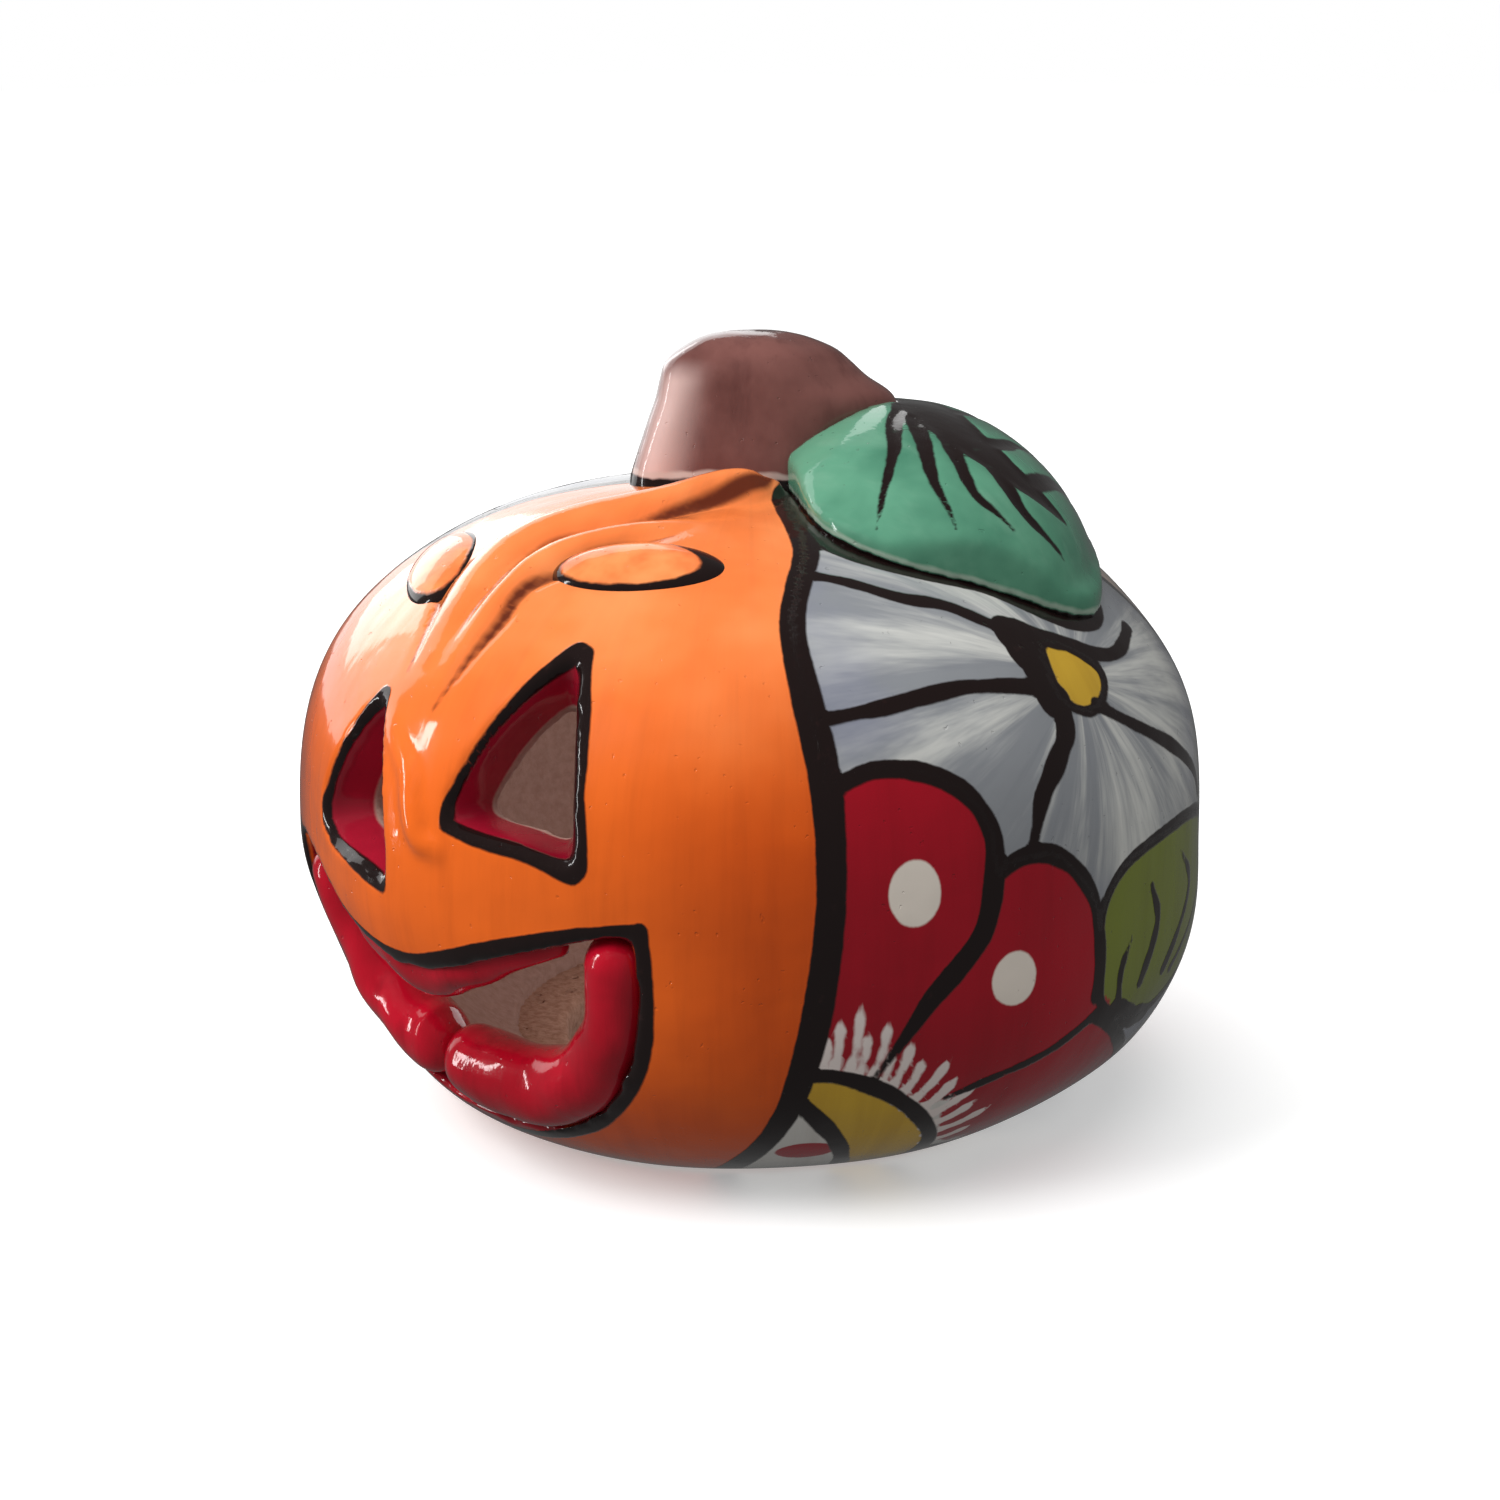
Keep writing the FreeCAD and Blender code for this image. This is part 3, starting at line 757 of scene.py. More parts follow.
def voxel_mesh(name, mesh, spacing):
    """The same solid as an even mesh."""
    block = bpy.data.objects.new(name, mesh)
    link(block)
    remesh = block.modifiers.new("remesh", "REMESH")
    remesh.mode = "VOXEL"
    remesh.voxel_size = spacing * MM
    depsgraph = bpy.context.evaluated_depsgraph_get()
    result = bpy.data.meshes.new_from_object(block.evaluated_get(depsgraph))
    result.name = name
    bpy.data.objects.remove(block)
    bpy.data.meshes.remove(mesh)
    return result


def fused_shell():
    """Shells and slab as one solid, since the clay is joined before it is glazed."""
    work = bmesh.new()
    for node in ("front_shell", "rear_shell"):
        work.from_mesh(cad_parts[node].data)
    bmesh.ops.remove_doubles(work, verts=work.verts, dist=1e-6)
    seam = [face for face in work.faces if all(abs(vert.co.y) < 1e-6 for vert in face.verts)]
    bmesh.ops.delete(work, geom=seam, context="FACES")
    work.from_mesh(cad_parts["base_slab"].data)
    mesh = bpy.data.meshes.new("fused_shell")
    work.to_mesh(mesh)
    work.free()
    return voxel_mesh("fused_shell", mesh, VOXEL)


def shape_shell(mesh):
    """Soften the cut edges, restore the true outer surface and add the relief."""
    edges = mesh_edges(mesh)
    points = relaxed(mesh_points(mesh), edges, 7)
    set_points(mesh, points)
    aligned = np.sum(mesh_normals(mesh) * outward(points), axis=1)
    depth = depth_below(points)
    on_surface = smoothstep(0.86, 0.985, aligned) * (np.abs(depth) < 1.2)
    points += outward(points) * (depth * on_surface)[:, None]
    rim = np.clip(relaxed(1.0 - on_surface[:, None], edges, 2), 0.0, 1.0) * (depth[:, None] < WALL - 2.0)
    points += (relaxed(points, edges, 3) - points) * rim
    outer = 1.0 - smoothstep(1.0, 4.0, depth_below(points))
    points += outward(points) * (relief(points) * outer)[:, None]
    points = relaxed(points, edges, 1)
    # The slab has its own piece, so the clay round it here stays just inside it.
    reach = np.hypot(points[:, 0], points[:, 1])
    slab = (reach < 41.0) & (points[:, 2] < 9.0)
    points[slab, 2] = np.clip(points[slab, 2], 0.5, 6.6)
    hole = slab & (reach < 31.0)
    points[hole, :2] *= (31.0 / reach[hole])[:, None]
    points[:, 2] = np.maximum(points[:, 2], 0.0)
    set_points(mesh, points)


def half_of(mesh, name, front):
    """The part of the mesh on one side of the plane y = 0, closed at the cut."""
    work = bmesh.new()
    work.from_mesh(mesh)
    everything = work.verts[:] + work.edges[:] + work.faces[:]
    cut = bmesh.ops.bisect_plane(
        work, geom=everything, plane_co=(0, 0, 0), plane_no=(0, 1, 0),
        clear_outer=front, clear_inner=not front,
    )
    rim = [item for item in cut["geom_cut"] if isinstance(item, bmesh.types.BMEdge)]
    filled = bmesh.ops.triangle_fill(work, edges=rim, use_beauty=True)
    for item in filled["geom"]:
        if isinstance(item, bmesh.types.BMFace):
            for edge in item.edges:
                if edge in rim:
                    edge.smooth = False
    half = bpy.data.meshes.new(name)
    work.to_mesh(half)
    work.free()
    return half


def paint_mesh(mesh, art, with_face):
    """Store the painting on a shell as named layers for its material."""
    points = mesh_points(mesh)
    colour, spot_colour, layers, streak = paint_layers(art, points)
    if with_face:
        level = points + outward(points) * np.clip(depth_below(points), 0.0, 0.9)[:, None]
        rims = np.minimum(eye_ink(level), mouth_ink(points))
        rims = relaxed(rims[:, None], mesh_edges(mesh), 1)[:, 0]
        layers["ink"] = np.minimum(layers["ink"], rims)
    flat = points + outward(points) * np.clip(depth_below(points), -8.0, 0.0)[:, None]
    layers["crease"] = crease_ink(flat) if with_face else np.full(len(points), FAR)
    write_layer(mesh, "fill", colour, "FLOAT_COLOR")
    write_layer(mesh, "spot_colour", spot_colour, "FLOAT_COLOR")
    write_layer(mesh, "streak", streak, "FLOAT_VECTOR")
    depth = depth_below(points)
    evened = relaxed(depth[:, None], mesh_edges(mesh), 2)[:, 0]
    write_layer(mesh, "depth", np.where(points[:, 1] < -4.0, evened, depth))
    orange = np.isclose(colour[:, 1], ORANGE[1])
    # Painted shade, partly also a deeper orange: the orange darkens towards its sides and its bottom.
    sideways = np.abs(longitude_of(points)) / 50.0
    shade = smoothstep(0.35, 1, sideways) * (1.0 - smoothstep(55, 88, points[:, 2]))
    shade = np.maximum(shade, 1.0 - smoothstep(8.0, 48.0, points[:, 2]))
    write_layer(mesh, "shade", shade * orange)
    # Painted light from above, partly also a paler orange: the orange lightens towards the top.
    write_layer(mesh, "pale", top_light_share(points[:, 2]) * orange)
    for name, values in layers.items():
        write_layer(mesh, name, values)


def build_shells(material):
    art = whole_painting()
    whole = fused_shell()
    shape_shell(whole)
    front = half_of(whole, "front_body", True)
    rear = half_of(whole, "rear_body", False)
    paint_mesh(front, art, True)
    paint_mesh(rear, art, False)
    face_nodes = ["front_shell", "forehead_fold_upper", "forehead_fold_lower"]
    new_piece("front_body", front, face_nodes, material)
    new_piece("rear_body", rear, ["rear_shell"], material)


# ------------------------------------------------------------- rolled coils


def coil_mesh(name, centres, radii, lumps, around=40):
    """Hand-rolled clay coil with rounded ends. Centres and radii are in mm."""
    line = resampled(smooth_curve(np.column_stack((centres, radii))), 0.7)
    path, radius = line[:, :3], line[:, 3]
    along = np.concatenate(([0.0], np.cumsum(np.linalg.norm(np.diff(path, axis=0), axis=1))))
    left = along[-1] - along
    for distance in (along, left):
        nose = radius * 0.95
        radius = radius * np.sqrt(np.clip(1.0 - np.clip(1.0 - distance / nose, 0.0, 1.0) ** 2, 0.04, 1.0))
    tangent = unit_rows(np.gradient(path, axis=0))
    rings = []
    turn = full_turn(around)
    for index, centre in enumerate(path):
        up = outward(centre)
        side = np.cross(tangent[index], up)
        side /= np.linalg.norm(side)
        up = np.cross(side, tangent[index])
        wave = np.sin(along[index] * 0.55 + 2.0 * turn) + 0.7 * np.sin(along[index] * 0.31 - 3.0 * turn)
        circle = np.outer(np.cos(turn), side) + np.outer(np.sin(turn), up)
        rings.append(centre + circle * (radius[index] * (1.0 + lumps * wave))[:, None])
    return grid_mesh(name, rings, cap_start=path[0], cap_end=path[-1])


def build_lips(material):
    spread = LIP_BOTTOM - LIP_SIDE
    for name, path, lumps in (("lip_left", LIP_LEFT_PATH, 0.018), ("lip_right", LIP_RIGHT_PATH, 0.035)):
        centres = path_on_body(path, -LIP_DEPTH)
        centres[0] += (centres[1] - centres[0]) * 0.03
        mesh = coil_mesh(f"{name}_coil", centres, [LIP_SIDE + spread * p[2] for p in path], lumps)
        new_piece(f"{name}_coil", mesh, [name], material)
    centres = path_on_body(UPPER_LIP, -LIP_DEPTH)
    mesh = coil_mesh("upper_lip_coil", centres, [p[2] for p in UPPER_LIP], 0.03)
    new_piece("upper_lip_coil", mesh, ["upper_lip"], material)


# --------------------------------------------------------------------- brows


def top_light_share(height):
    """Share of the painted light from above, partly also a paler orange, at a height in mm."""
    return smoothstep(58.0, 94.0, height)


def build_brow(name, inner_end, outer_end, material):
    """Oval pad on the body with a black outline, thick at its outer end."""
    ends = on_body([inner_end[0], outer_end[0]], [inner_end[1], outer_end[1]])
    along = (ends[1] - ends[0]) / 2.0
    middle = ends.mean(axis=0)
    normal = outward(middle)
    along -= normal * np.dot(along, normal)
    along /= np.linalg.norm(along)
    across = np.cross(normal, along)
    half_length, half_width, rise = 13.3, 6.4, 2.4
    rings = []
    for share in np.linspace(1.0, 0.06, 22):
        turn = full_turn(72)
        flat = middle + np.outer(np.cos(turn) * half_length * share, along)
        flat += np.outer(np.sin(turn) * half_width * share, across)
        flat = pressed_to_surface(flat, normal)
        dome = rise * (1.0 - share ** 2.4) ** 0.55 - 0.7
        rings.append(flat + outward(flat) * dome)
    tip = pressed_to_surface(middle[None], normal)[0] + normal * (rise - 0.7)
    mesh = grid_mesh(f"{name}_pad", rings, cap_end=tip)
    points = mesh_points(mesh)
    offset = points - middle
    share = np.hypot(offset @ along / half_length, offset @ across / half_width)
    edge = (1.0 - share) * half_width
    upper = smoothstep(-0.3, 0.8, offset @ across / half_width)
    outer = smoothstep(0.1, 0.8, offset @ along / half_length)
    ink_width = 0.75 + 0.5 * upper + 1.7 * outer * (0.45 + 0.55 * upper)
    colour = np.tile((*ORANGE, 1.0), (len(points), 1))
    write_layer(mesh, "fill", colour, "FLOAT_COLOR")
    write_layer(mesh, "ink", edge - ink_width)
    # Painted light from above: the pad's orange lightens towards the top.
    write_layer(mesh, "pale", top_light_share(points[:, 2]))
    return new_piece(f"{name}_pad", mesh, [name], material)


# ---------------------------------------------------------------- stem, leaf

STEM_LEAN = math.radians(43.0)
STEM_FOOT_RADIUS, STEM_FOOT_HEIGHT = 20.5, 90.0
# (share of the height above the foot, half breadth, half depth, shift along the breadth)
STEM_SETBACK = 5.0
STEM_SECTIONS = (
    (0, 1.04, 0.70, 0.8), (0.24, 1.01, 0.68, 1.4), (0.49, 0.95, 0.62, 2.6), (0.65, 0.90, 0.57, 3.3),
    (0.76, 0.78, 0.52, 1.7), (0.84, 0.70, 0.47, 0.9), (0.91, 0.58, 0.40, 0.9), (0.97, 0.40, 0.28, 0.6),
    (1.0, 0.22, 0.15, 0.9),
)
ACROSS = np.array((math.cos(STEM_LEAN), math.sin(STEM_LEAN), 0.0))
TOWARDS_BACK = np.array((-math.sin(STEM_LEAN), math.cos(STEM_LEAN), 0.0))


def angle_gap(turn, centre):
    """Angle in degrees between directions, from -180 to 180."""
    return (np.degrees(turn) - centre + 180.0) % 360.0 - 180.0


def build_stem(material):
    """Squat stub of clay with flutes, a pinched crease and a flared foot."""
    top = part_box("stem")[1][2] / MM
    sections = smooth_curve(STEM_SECTIONS, steps=9)
    turn = full_turn(120)
    crease = np.exp(-(angle_gap(turn, 229.0) / 9.0) ** 2)
    facet_and_highlight = np.exp(-(angle_gap(turn, 206.0) / 15.0) ** 2)
    rings = []
    for share, breadth, depth, shift in sections[2:]:
        level = STEM_FOOT_HEIGHT + (top - STEM_FOOT_HEIGHT) * min(share, 1.0)
        body = smoothstep(0.12, 0.3, share) * (1.0 - smoothstep(0.82, 1, share))
        flute = 1.0 + 0.035 * np.cos(5.0 * turn) - 0.075 * crease * body + 0.012 * facet_and_highlight * body
        flute += 0.008 * np.sin(3.0 * turn + 5.0 * share) * body
        ring = np.outer(STEM_FOOT_RADIUS * breadth * flute * np.cos(turn) + shift, ACROSS)
        ring += np.outer(STEM_FOOT_RADIUS * depth * flute * np.sin(turn) + STEM_SETBACK, TOWARDS_BACK)
        ring[:, 2] = level
        rings.append(ring)
    crown = rings[-1].mean(axis=0)
    foot = rings[0].mean(axis=0)
    mesh = grid_mesh("stem_stub", rings, cap_start=foot, cap_end=crown)
    points = mesh_points(mesh)
    points = relaxed(points, mesh_edges(mesh), 2)
    points[:, 2] = np.minimum(points[:, 2], top)
    set_points(mesh, points)
    write_layer(mesh, "above_body", -depth_below(points))
    # Painted highlight: a pale band down the stem's left side, fading out just under its top.
    offset = points @ TOWARDS_BACK - STEM_SETBACK
    bearing = np.arctan2(offset / 0.62, points @ ACROSS - 2.0)
    painted_highlight = np.exp(-(angle_gap(bearing, 219.0) / 12.0) ** 2)
    write_layer(mesh, "facet_and_highlight", painted_highlight * (1.0 - smoothstep(top - 7.0, top - 3.0, points[:, 2])))
    new_piece("stem_stub", mesh, ["stem"], material)


LEAF_LINES = (
    # midrib and veins in plan, as (longitude, distance from the axis, half width)
    (
        (150, 24, 4), (122, 28.5, 4.6), (109, 34, 4.4), (104.6, 41, 3.6), (105.4, 46.6, 2.2),
        (108.0, 51.0, 0.3),
    ),
    ((128, 23, 1.4), (104, 24.5, 1.3), (89, 29.3, 0.9), (79, 33.2, 0.6), (71.8, 37.4, 0.15)),
    ((112, 26.5, 1.5), (101, 29.5, 1.3), (88.5, 36.6, 0.9), (83.3, 45.2, 0.15)),
    ((103, 33.5, 1.6), (96, 38, 1.1), (91.4, 43.2, 0.8), (92.8, 49.3, 0.15)),
    ((101.5, 42, 1.7), (98.4, 46.5, 1.1), (98, 49.6, 0.8), (100.8, 53.6, 0.15)),
    ((107, 37, 1.8), (115, 39.5, 1.5), (122, 40.8, 0.9), (130.5, 44.6, 0.15)),
    ((122, 29.5, 1.8), (133, 33, 1.3), (143, 39, 0.8), (149, 46, 0.15)),
    ((106, 46, 1.5), (118, 47, 1.1), (127, 50, 0.7), (134, 55, 0.15)),
)


def plan_distance(points, lines):
    """Distance in plan to the edge of tapered lines, negative inside them."""
    layer = np.full(len(points), FAR)
    for line in lines:
        curve = smooth_curve(line)
        angle = np.radians(curve[:, 0])
        place = np.stack((curve[:, 1] * np.sin(angle), -curve[:, 1] * np.cos(angle)), axis=-1)
        samples = resampled(np.column_stack((place, curve[:, 2])), 0.5)
        gap = np.linalg.norm(points[:, None, :2] - samples[None, :, :2], axis=2) - samples[None, :, 2]
        layer = np.minimum(layer, gap.min(axis=1))
    return layer


def softened(node, name, spacing, rounds):
    """CAD node as an even mesh whose edges are rounded like wet clay."""
    mesh = voxel_mesh(name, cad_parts[node].data.copy(), spacing)
    set_points(mesh, relaxed(mesh_points(mesh), mesh_edges(mesh), rounds))
    return mesh


def build_leaf(material):
    mesh = softened("leaf", "leaf_dome", 0.6, 9)
    points = mesh_points(mesh)
    upper = smoothstep(0, 0.5, mesh_normals(mesh)[:, 2]) * smoothstep(1, 5, -depth_below(points))
    veins = plan_distance(points, LEAF_LINES)
    points[:, 2] -= 0.35 * upper * (1.0 - smoothstep(-1.5, 1.0, veins))
    hidden = 1.0 - smoothstep(0.1, 0.7, np.abs(depth_below(points)))
    points -= outward(points) * (0.5 * hidden)[:, None]
    set_points(mesh, points)
    write_layer(mesh, "ink", veins)
    write_layer(mesh, "above_body", -depth_below(points))
    new_piece("leaf_dome", mesh, ["leaf"], material)


# ------------------------------------------------------------------ base slab


def build_slab(material):
    """Bare clay ring under the body, hand-cut round the hole."""
    low, high = (np.array(corner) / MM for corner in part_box("base_slab"))
    outer, inner, top = high[0] - 0.6, 30.0, high[2] + 0.15
    profile = (
        (inner + 0.5, 0.0), (outer - 2.0, 0.0), (outer - 0.6, 0.25), (outer, 1.0), (outer, top - 0.6),
        (outer - 0.6, top), (inner + 1.4, top), (inner + 0.4, top - 0.35), (inner, top - 1.3),
        (inner - 0.1, 3.5), (inner, 0.9), (inner + 0.15, 0.3),
    )
    turn = full_turn(180)
    wave = 0.25 * np.sin(3.0 * turn) + 0.15 * np.sin(7.0 * turn + 1.0) + 0.08 * np.sin(17.0 * turn)
    rings = []
    for index in range(len(profile) + 1):
        radius, height = profile[index % len(profile)]
        near_hole = 1.0 if radius < inner + 2.0 else 0.0
        reach = radius + wave * near_hole
        ring = (reach * np.cos(turn), reach * np.sin(turn), np.full(len(turn), height))
        rings.append(np.stack(ring, axis=-1))
    mesh = grid_mesh("base_ring", rings)
    work = bmesh.new()
    work.from_mesh(mesh)
    bmesh.ops.remove_doubles(work, verts=work.verts, dist=1e-6)
    bmesh.ops.recalc_face_normals(work, faces=work.faces)
    work.to_mesh(mesh)
    work.free()
    new_piece("base_ring", mesh, ["base_slab"], material)


# ----------------------------------------------------------------- materials


class Shader:
    """Short way to write the nodes of one material."""

    def __init__(self, name):
        self.material = bpy.data.materials.new(name)
        self.material.use_nodes = True
        self.tree = self.material.node_tree
        self.tree.nodes.clear()
        output = self.tree.nodes.new("ShaderNodeOutputMaterial")
        self.surface = self.tree.nodes.new("ShaderNodeBsdfPrincipled")
        self.tree.links.new(self.surface.outputs["BSDF"], output.inputs["Surface"])
        self.place = self.tree.nodes.new("ShaderNodeTexCoord").outputs["Object"]

    def feed(self, socket, value):
        if isinstance(value, bpy.types.NodeSocket):
            self.tree.links.new(value, socket)
        else:
            socket.default_value = value

    def set(self, name, value):
        self.feed(self.surface.inputs[name], value)

    def attribute(self, name, output="Fac"):
        node = self.tree.nodes.new("ShaderNodeAttribute")
        node.attribute_name = name
        return node.outputs[output]

    def noise(self, vector, scale, detail=2.0, roughness=0.5, distortion=0.0):
        node = self.tree.nodes.new("ShaderNodeTexNoise")
        self.feed(node.inputs["Vector"], vector)
        node.inputs["Scale"].default_value = scale
        node.inputs["Detail"].default_value = detail
        node.inputs["Roughness"].default_value = roughness
        node.inputs["Distortion"].default_value = distortion
        return node.outputs["Fac"]

    def wobble(self, scale, amount, detail=3.0, roughness=0.5):
        """Noise about zero, in mm, that makes the edge of a stroke uneven."""
        centred = self.math("SUBTRACT", self.noise(self.place, scale, detail, roughness), 0.5)
        return self.times(centred, amount)

    def times(self, first, second):
        return self.math("MULTIPLY", first, second)

    def plus(self, first, second):
        return self.math("ADD", first, second)

    def stroke(self, name, wobble, outside, inner):
        """How far a stored stroke covers a point: 0 outside its edge, 1 inside."""
        return self.between(self.plus(self.attribute(name), wobble), outside, inner)

    def math(self, operation, first, second=0.0):
        node = self.tree.nodes.new("ShaderNodeMath")
        node.operation = operation
        self.feed(node.inputs[0], first)
        self.feed(node.inputs[1], second)
        return node.outputs[0]

    def between(self, value, low, high, start=0.0, end=1.0):
        """Smooth step of a value from one level to another."""
        node = self.tree.nodes.new("ShaderNodeMapRange")
        node.interpolation_type = "SMOOTHSTEP"
        self.feed(node.inputs["Value"], value)
        node.inputs["From Min"].default_value = low
        node.inputs["From Max"].default_value = high
        node.inputs["To Min"].default_value = start
        node.inputs["To Max"].default_value = end
        return node.outputs["Result"]

    def mix(self, factor, first, second, blend="MIX"):
        node = self.tree.nodes.new("ShaderNodeMix")
        node.data_type = "RGBA"
        node.blend_type = blend
        self.feed(node.inputs[0], factor)
        for socket, value in ((node.inputs[6], first), (node.inputs[7], second)):
            self.feed(socket, (*value, 1.0) if isinstance(value, tuple) and len(value) == 3 else value)
        return node.outputs[2]

    def stretched(self, vector, scale):
        node = self.tree.nodes.new("ShaderNodeVectorMath")
        node.operation = "MULTIPLY"
        self.feed(node.inputs[0], vector)
        node.inputs[1].default_value = scale
        return node.outputs[0]

    def parts(self, vector):
        node = self.tree.nodes.new("ShaderNodeSeparateXYZ")
        self.feed(node.inputs[0], vector)
        return node.outputs

    def bump(self, height, distance, strength=1.0, under=None):
        node = self.tree.nodes.new("ShaderNodeBump")
        self.feed(node.inputs["Height"], height)
        node.inputs["Distance"].default_value = distance
        node.inputs["Strength"].default_value = strength
        if under is not None:
            self.feed(node.inputs["Normal"], under)
        return node.outputs["Normal"]

    def glazed(self, colour, roughness, waviness=0.00035, coat=1.0, extra=None):
        """Thick clear glaze over a colour, with its slow waves and few pinholes."""
        waves = self.noise(self.place, 95.0, 2.0, 0.45)
        dimples = self.between(self.noise(self.place, 900.0, 1.0), 0.74, 0.80)
        normal = self.bump(waves, waviness)
        normal = self.bump(self.math("MULTIPLY", dimples, -1.0), 0.00008, 1.0, normal)
        if extra is not None:
            normal = self.bump(extra, 0.0001, 1.0, normal)
        self.set("Base Color", colour)
        self.set("Roughness", roughness)
        self.set("Normal", normal)
        self.set("Coat Weight", coat)
        self.set("Coat Roughness", 0.03)
        self.set("Coat IOR", 1.5)
        self.set("Coat Normal", normal)
        self.set("IOR", 1.5)
        self.set("Specular IOR Level", 0.15)
        return self.material


def with_painted_top_light(shader, wash, colour):
    """Orange glaze lightened in clouds towards the top of the figure: partly painted light from above,
    partly a paler orange.
    """
    pale = shader.times(shader.attribute("pale"), shader.between(wash, 0.3, 0.65, 0.65, 0.25))
    return shader.mix(pale, colour, srgb(248, 164, 104))


def body_material(name):
    """The painted body: every layer of the painting under one clear glaze."""
    shader = Shader(name)
    fill = shader.attribute("fill", "Color")
    spot_colour = shader.attribute("spot_colour", "Color")
    streak = shader.attribute("streak", "Vector")
    petal = shader.attribute("petal")
    depth = shader.attribute("depth")
    wobble = shader.wobble(260.0, 0.45, 3.0, 0.6)

    # Brushed fills: long streaks with the run of the brush, and cloudy washes.
    strokes = shader.noise(streak, 1.0, 5.0, 0.62, 0.15)
    fine = shader.noise(streak, 3.2, 3.0, 0.6)
    wash = shader.noise(shader.place, 38.0, 3.0, 0.55)
    colour = shader.mix(shader.between(strokes, 0.42, 0.72, 0.0, 0.30), fill, (0.62, 0.55, 0.5), "MULTIPLY")
    colour = shader.mix(shader.between(wash, 0.35, 0.7, 0.0, 0.22), colour, (0.7, 0.62, 0.6), "MULTIPLY")

    # Petals: white strokes that run out from the flower, violet towards the tips.
    share = shader.parts(streak)[2]
    white = shader.between(strokes, 0.43, 0.68, 0.0, 0.85)
    white = shader.times(white, shader.between(share, 0.86, 0.45, 0.25, 1.0))
    petals = shader.mix(white, fill, srgb(208, 208, 202))
    petals = shader.mix(shader.between(fine, 0.5, 0.78, 0.0, 0.4), petals, srgb(116, 119, 126))
    tips = shader.times(shader.between(share, 0.42, 0.62), shader.between(wash, 0.4, 0.6))
    petals = shader.mix(shader.times(tips, 0.4), petals, srgb(118, 122, 146))
    colour = shader.mix(petal, colour, petals)

    colour = with_painted_top_light(shader, wash, colour)
    # Painted shade, partly also a deeper orange: darker towards the sides and the bottom.
    shade = shader.times(shader.attribute("shade"), shader.between(wash, 0.25, 0.6, 0.55, 1.0))
    colour = shader.mix(shade, colour, (0.78, 0.60, 0.36), "MULTIPLY")

    light = shader.stroke("light", wobble, 0.25, -0.15)
    colour = shader.mix(light, colour, srgb(226, 214, 208))
    spot = shader.stroke("spot", wobble, 0.3, -0.15)
    colour = shader.mix(spot, colour, spot_colour)

    # Cut edges of the face openings are glazed red, the inside is bare clay.
    height = shader.parts(shader.place)[2]
    cut = shader.between(shader.plus(depth, wobble), 0.7, 1.3)
    cut_red = shader.mix(shader.between(wash, 0.3, 0.7), srgb(168, 26, 48), srgb(118, 10, 30))
    colour = shader.mix(cut, colour, cut_red)
    ink = shader.stroke("ink", wobble, 0.28, -0.12)
    thin = shader.between(shader.noise(shader.place, 420.0, 3.0, 0.6), 0.62, 0.8, 0.0, 0.3)
    ink_colour = shader.mix(thin, INK, srgb(62, 36, 34))
    colour = shader.mix(ink, colour, ink_colour)
    crease = shader.between(shader.attribute("crease"), 0.65, -0.35, 0.0, 0.95)
    colour = shader.mix(crease, colour, srgb(88, 32, 18))
    bare = shader.between(shader.plus(depth, wobble), WALL - 2.0, WALL - 1.3)
    foot = shader.between(shader.plus(height, shader.times(wobble, 0.001)), 0.0011, 0.0006)
    bare = shader.math("MAXIMUM", bare, foot)
    low = shader.times(shader.between(height, 0.009, 0.008), shader.between(depth, 1.2, 1.8))
    bare = shader.math("MAXIMUM", bare, low)
    grain = shader.noise(shader.place, 700.0, 4.0, 0.65)
    clay = shader.mix(shader.between(grain, 0.3, 0.75), srgb(176, 144, 132), srgb(160, 128, 116))
    colour = shader.mix(bare, colour, clay)

    roughness = shader.between(wash, 0.3, 0.7, 0.16, 0.24)
    roughness = shader.math("MAXIMUM", roughness, shader.times(bare, 0.85))
    coat = shader.math("SUBTRACT", 1.0, bare)
    raised = shader.plus(shader.times(strokes, 0.5), shader.times(ink, 0.8))
    raised = shader.plus(raised, shader.times(shader.times(grain, bare), 2.5))
    return shader.glazed(colour, roughness, coat=coat, extra=raised)


def lip_material():
    """Deep red glaze in cloudy tones, with darker upright brush streaks."""
    shader = Shader("lip_glaze")
    wash = shader.noise(shader.place, 60.0, 3.0, 0.55)
    strokes = shader.noise(shader.stretched(shader.place, (260.0, 260.0, 40.0)), 1.0, 4.0, 0.6)
    colour = shader.mix(shader.between(wash, 0.3, 0.7), srgb(192, 16, 40), srgb(158, 8, 28))
    colour = shader.mix(shader.between(strokes, 0.5, 0.75, 0.0, 0.5), colour, srgb(124, 4, 20))
    return shader.glazed(colour, shader.between(wash, 0.3, 0.7, 0.14, 0.22), waviness=0.0006, extra=strokes)


def brow_material():
    """Orange pad with its brushed black outline."""
    shader = Shader("brow_glaze")
    wobble = shader.wobble(300.0, 0.8)
    wash = shader.noise(shader.place, 120.0, 3.0, 0.55)
    colour = shader.mix(shader.between(wash, 0.35, 0.7), srgb(240, 116, 44), srgb(222, 84, 22))
    colour = with_painted_top_light(shader, wash, colour)
    ink = shader.stroke("ink", wobble, 0.3, -0.15)
    colour = shader.mix(ink, colour, INK)
    return shader.glazed(colour, shader.between(wash, 0.3, 0.7, 0.16, 0.24), extra=ink)


